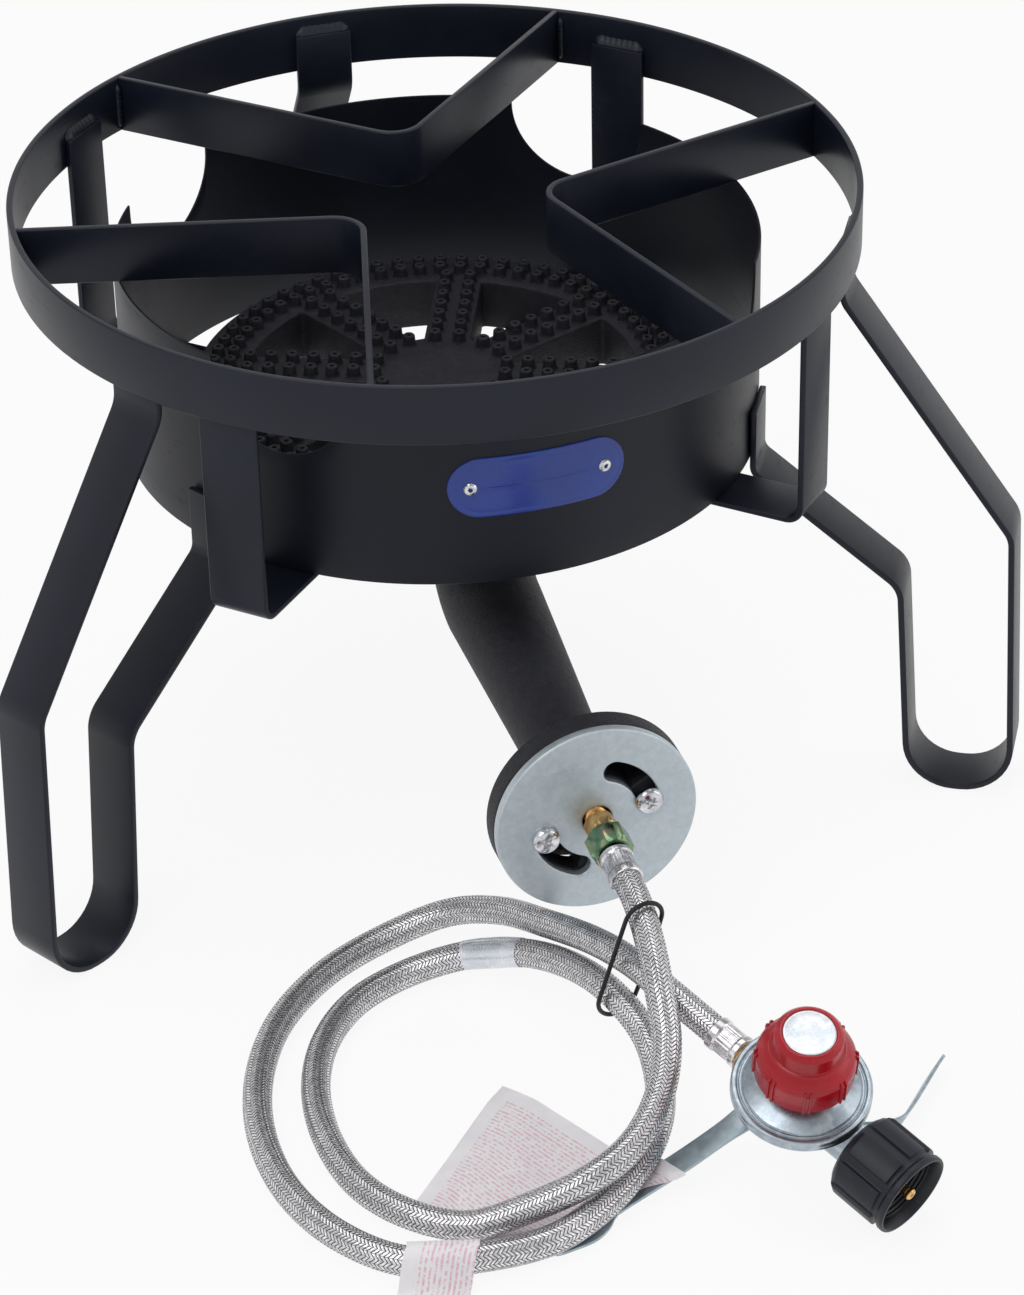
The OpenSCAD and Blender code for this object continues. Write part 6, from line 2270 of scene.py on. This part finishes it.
@dataclass
class PaperTag:
    """The bare paper tag that lies under the hose and over the steel strip's foot.

    Args:
        count: How many steps it has along each side.
        thick: The paper's thickness.
        lies_on: Places on the lower face of the part of the strip that it covers.
    """

    count: int = 72
    thick: float = 0.2
    lies_on: tuple[Point, ...] = (
        (-80, -420.5, 0), (-66.6, -417.6, 0), (-59.4, -412.6, 0), (-53.7, -405.8, 0), (-46, -402, 0.8),
        (-15.6, -397.6, 11), (8, -394, 20.4))

    def lift(self, q: np.ndarray) -> float:
        """Gives the height of the paper at a place over the strip or beside it.

        Args:
            q: The place on the floor.

        Returns:
            The height.
        """
        high = 0.0
        for a, b in zip(self.lies_on, self.lies_on[1:]):
            start, along = np.array(a[:2], float), np.array(b[:2], float) - np.array(a[:2], float)
            t = max(0.0, min(1.0, float((q - start) @ along / (along @ along))))
            away = max(0.0, float(np.linalg.norm(q - start - t * along)) - 7.5)
            share = max(0.0, 1.0 - away / 10.0)
            high = max(high, (a[2] + t * (b[2] - a[2]) + 1.9) * share * share * (3 - 2 * share))
        return high

    def at(self, i: int, v: float) -> Point:
        """Gives a place on the paper's underside, with its soft curl at the far corner and its creases.

        Args:
            i: The row's number.
            v: The share along the row.

        Returns:
            The place.
        """
        u = i / self.count
        c = np.array([(-67, -302), (-137, -377), (-15, -406.5), (-98, -426)], float)
        q = (1 - u) * (1 - v) * c[0] + (1 - u) * v * c[1] + u * (1 - v) * c[2] + u * v * c[3]
        if v < 0.55:
            q = q + 9 * u**4 * math.sin(math.pi * v / 0.55) ** 2 * np.array([-0.15, 0.98])
        corner = max(0.0, 1.0 - (u * 5.0 + v * 4.2))
        q = q + corner**2 * np.array([-4.0, -7.0])
        curl = 5.0 * max(0.0, 1.0 - u * 7.0) ** 2 * (1 - 0.7 * v)
        curl += 2.0 * max(0.0, 1.0 - v * 9.0) ** 2 * (1 - u)
        ripple = math.sin(6.1 * u + 4.0 * v + 0.6) * math.sin(5.3 * v - 3.2 * u)
        wave = 0.5 * max(0.0, 1.0 - 1.2 * u) * (1 + ripple)
        return (q[0], q[1], max(self.lift(q), curl * 0.6 + wave * 0.8) + 0.05)

    def build(self) -> None:
        """Makes the tag."""
        piece = paper_sheet("paper_tag_sheet", self.at, self.count + 1, self.count + 1, self.thick)
        dress(piece, "paper", "paper_tag")


# Pieces kept from the CAD, floor and light

KEPT = {
    "screw_zinc": ("burner_bolt", "burner_washer", "strip_screw"),
    "rubber": ("diaphragm",),
    "inner_steel": ("spring_plate", "pressure_spring", "thrust_button", "pressure_screw"),
}


def finish_kept() -> None:
    """Gives the CAD nodes that stay their materials."""
    slots = {node: slot for slot, nodes in KEPT.items() for node in nodes}
    for piece in bpy.data.objects:
        slot = slots.get(piece.name.split(".")[0])
        if slot is None or piece.type != "MESH":
            continue
        material = FINISHES[slot].material()
        if not piece.material_slots:
            piece.data.materials.append(material)
        for held in piece.material_slots:
            held.material = material
        LOG.info("%s: %s, kept", piece.name, slot)


@dataclass
class Studio:
    """The floor, the surroundings and the soft lamps.

    Args:
        floor_size: The floor's width in metres.
        white: How far the floor shows as plain white to the camera, from 0 to 1.
        dim: How strongly the surroundings light the object.
        overhead: How bright they are in reflections, high overhead.
    """

    floor_size: float = 14.0
    white: float = 0.9
    dim: float = 0.4
    overhead: float = 0.5

    def seen(self, nodes: Nodes) -> Socket:
        """Gives 1 for camera, glossy and transmission rays.

        Args:
            nodes: The tree's nodes.

        Returns:
            The socket.
        """
        path = nodes.add("ShaderNodeLightPath")
        both = nodes.math("MAXIMUM", path.outputs["Is Camera Ray"], path.outputs["Is Glossy Ray"])
        return nodes.math("MAXIMUM", both, path.outputs["Is Transmission Ray"])

    def floor(self) -> None:
        """Makes the plain pale floor, which keeps a soft shadow."""
        half = self.floor_size / 2 / MM
        points = np.array([(x, y, -0.1) for x in (-half, half) for y in (-half, half)])
        piece = add_mesh("floor", points, [(0, 2, 3, 1)])
        for polygon in piece.data.polygons:
            if polygon.normal.z < 0:
                polygon.flip()
        material = bpy.data.materials.new("floor_pale")
        material.use_nodes = True
        material.node_tree.nodes.clear()
        nodes = Nodes(material.node_tree)
        pale = nodes.add("ShaderNodeBsdfDiffuse", {"Color": (0.9, 0.9, 0.9, 1.0)})
        glow = nodes.add("ShaderNodeEmission", {"Color": (1.0, 1.0, 1.0, 1.0), "Strength": 1.0})
        share = nodes.times(self.seen(nodes), self.white)
        mixed = nodes.add("ShaderNodeMixShader", {0: share, 1: pale.outputs[0], 2: glow.outputs[0]})
        nodes.add("ShaderNodeOutputMaterial", {"Surface": mixed.outputs[0]})
        piece.data.materials.append(material)

    def world(self) -> None:
        """Makes the surroundings: white where seen, greyer overhead in reflections, dimmer as a lamp."""
        world = bpy.data.worlds.new("studio")
        bpy.context.scene.world = world
        world.use_nodes = True
        world.node_tree.nodes.clear()
        nodes = Nodes(world.node_tree)
        around = nodes.add("ShaderNodeTexCoord").outputs["Generated"]
        way = nodes.add("ShaderNodeSeparateXYZ", {0: around}).outputs[2]
        above = nodes.remap(way, 0.12, 0.75, 1.0, self.overhead)
        path = nodes.add("ShaderNodeLightPath")
        plain = nodes.math("MAXIMUM", path.outputs["Is Camera Ray"], path.outputs["Is Transmission Ray"])
        glossy = nodes.times(path.outputs["Is Glossy Ray"], nodes.less(above, self.dim))
        shown = nodes.plus(self.dim, nodes.math("MAXIMUM", glossy, nodes.times(plain, 1.0 - self.dim)))
        sky = nodes.add("ShaderNodeBackground", {"Color": (1.0, 1.0, 1.0, 1.0), "Strength": shown})
        nodes.add("ShaderNodeOutputWorld", {"Surface": sky.outputs[0]})

    def lamp(self, name: str, at: Point, aim: Point, size: tuple[float, float], power: float) -> None:
        """Makes one soft lamp.

        Args:
            name: Its name.
            at: Where it stands, in metres.
            aim: The point it faces.
            size: Its width and height.
            power: Its power in watts.
        """
        data = bpy.data.lights.new(name, "AREA")
        data.shape = "RECTANGLE"
        data.size, data.size_y = size
        data.energy = power
        lamp = bpy.data.objects.new(name, data)
        lamp.matrix_world = Matrix.Translation(Vector(at)) @ (
            (Vector(aim) - Vector(at)).to_track_quat("-Z", "Y").to_matrix().to_4x4())
        bpy.context.collection.objects.link(lamp)

    def build(self) -> None:
        """Sets the stage."""
        bpy.context.scene.view_settings.view_transform = "Standard"
        self.floor()
        self.world()
        self.lamp("key", (-1.1, -1.0, 1.9), (0.0, -0.05, 0.15), (1.3, 1.3), 12.5)
        self.lamp("top", (0.2, 0.5, 2.2), (0.0, 0.0, 0.2), (1.8, 1.2), 11.0)
        self.lamp("fill", (1.7, -0.9, 1.1), (0.0, -0.1, 0.15), (1.2, 1.6), 6.0)


# Assembly


def main() -> None:
    """Builds the whole scene in order: camera and hose first, then the stand up to the light."""
    logging.basicConfig(level=logging.INFO, format="%(message)s")
    for part in (Shot(), Hose(), PotRing(), Frame(), Windshield(), Burner(), Shutter(), BurnerFittings(),
                 Regulator(), CouplingNut(), SteelStrip(), PaperTag()):
        part.build()
    finish_kept()
    Studio().build()
    LOG.info("pieces: %d", len(frame["nodes"]))


if __name__ == "__main__":
    main()
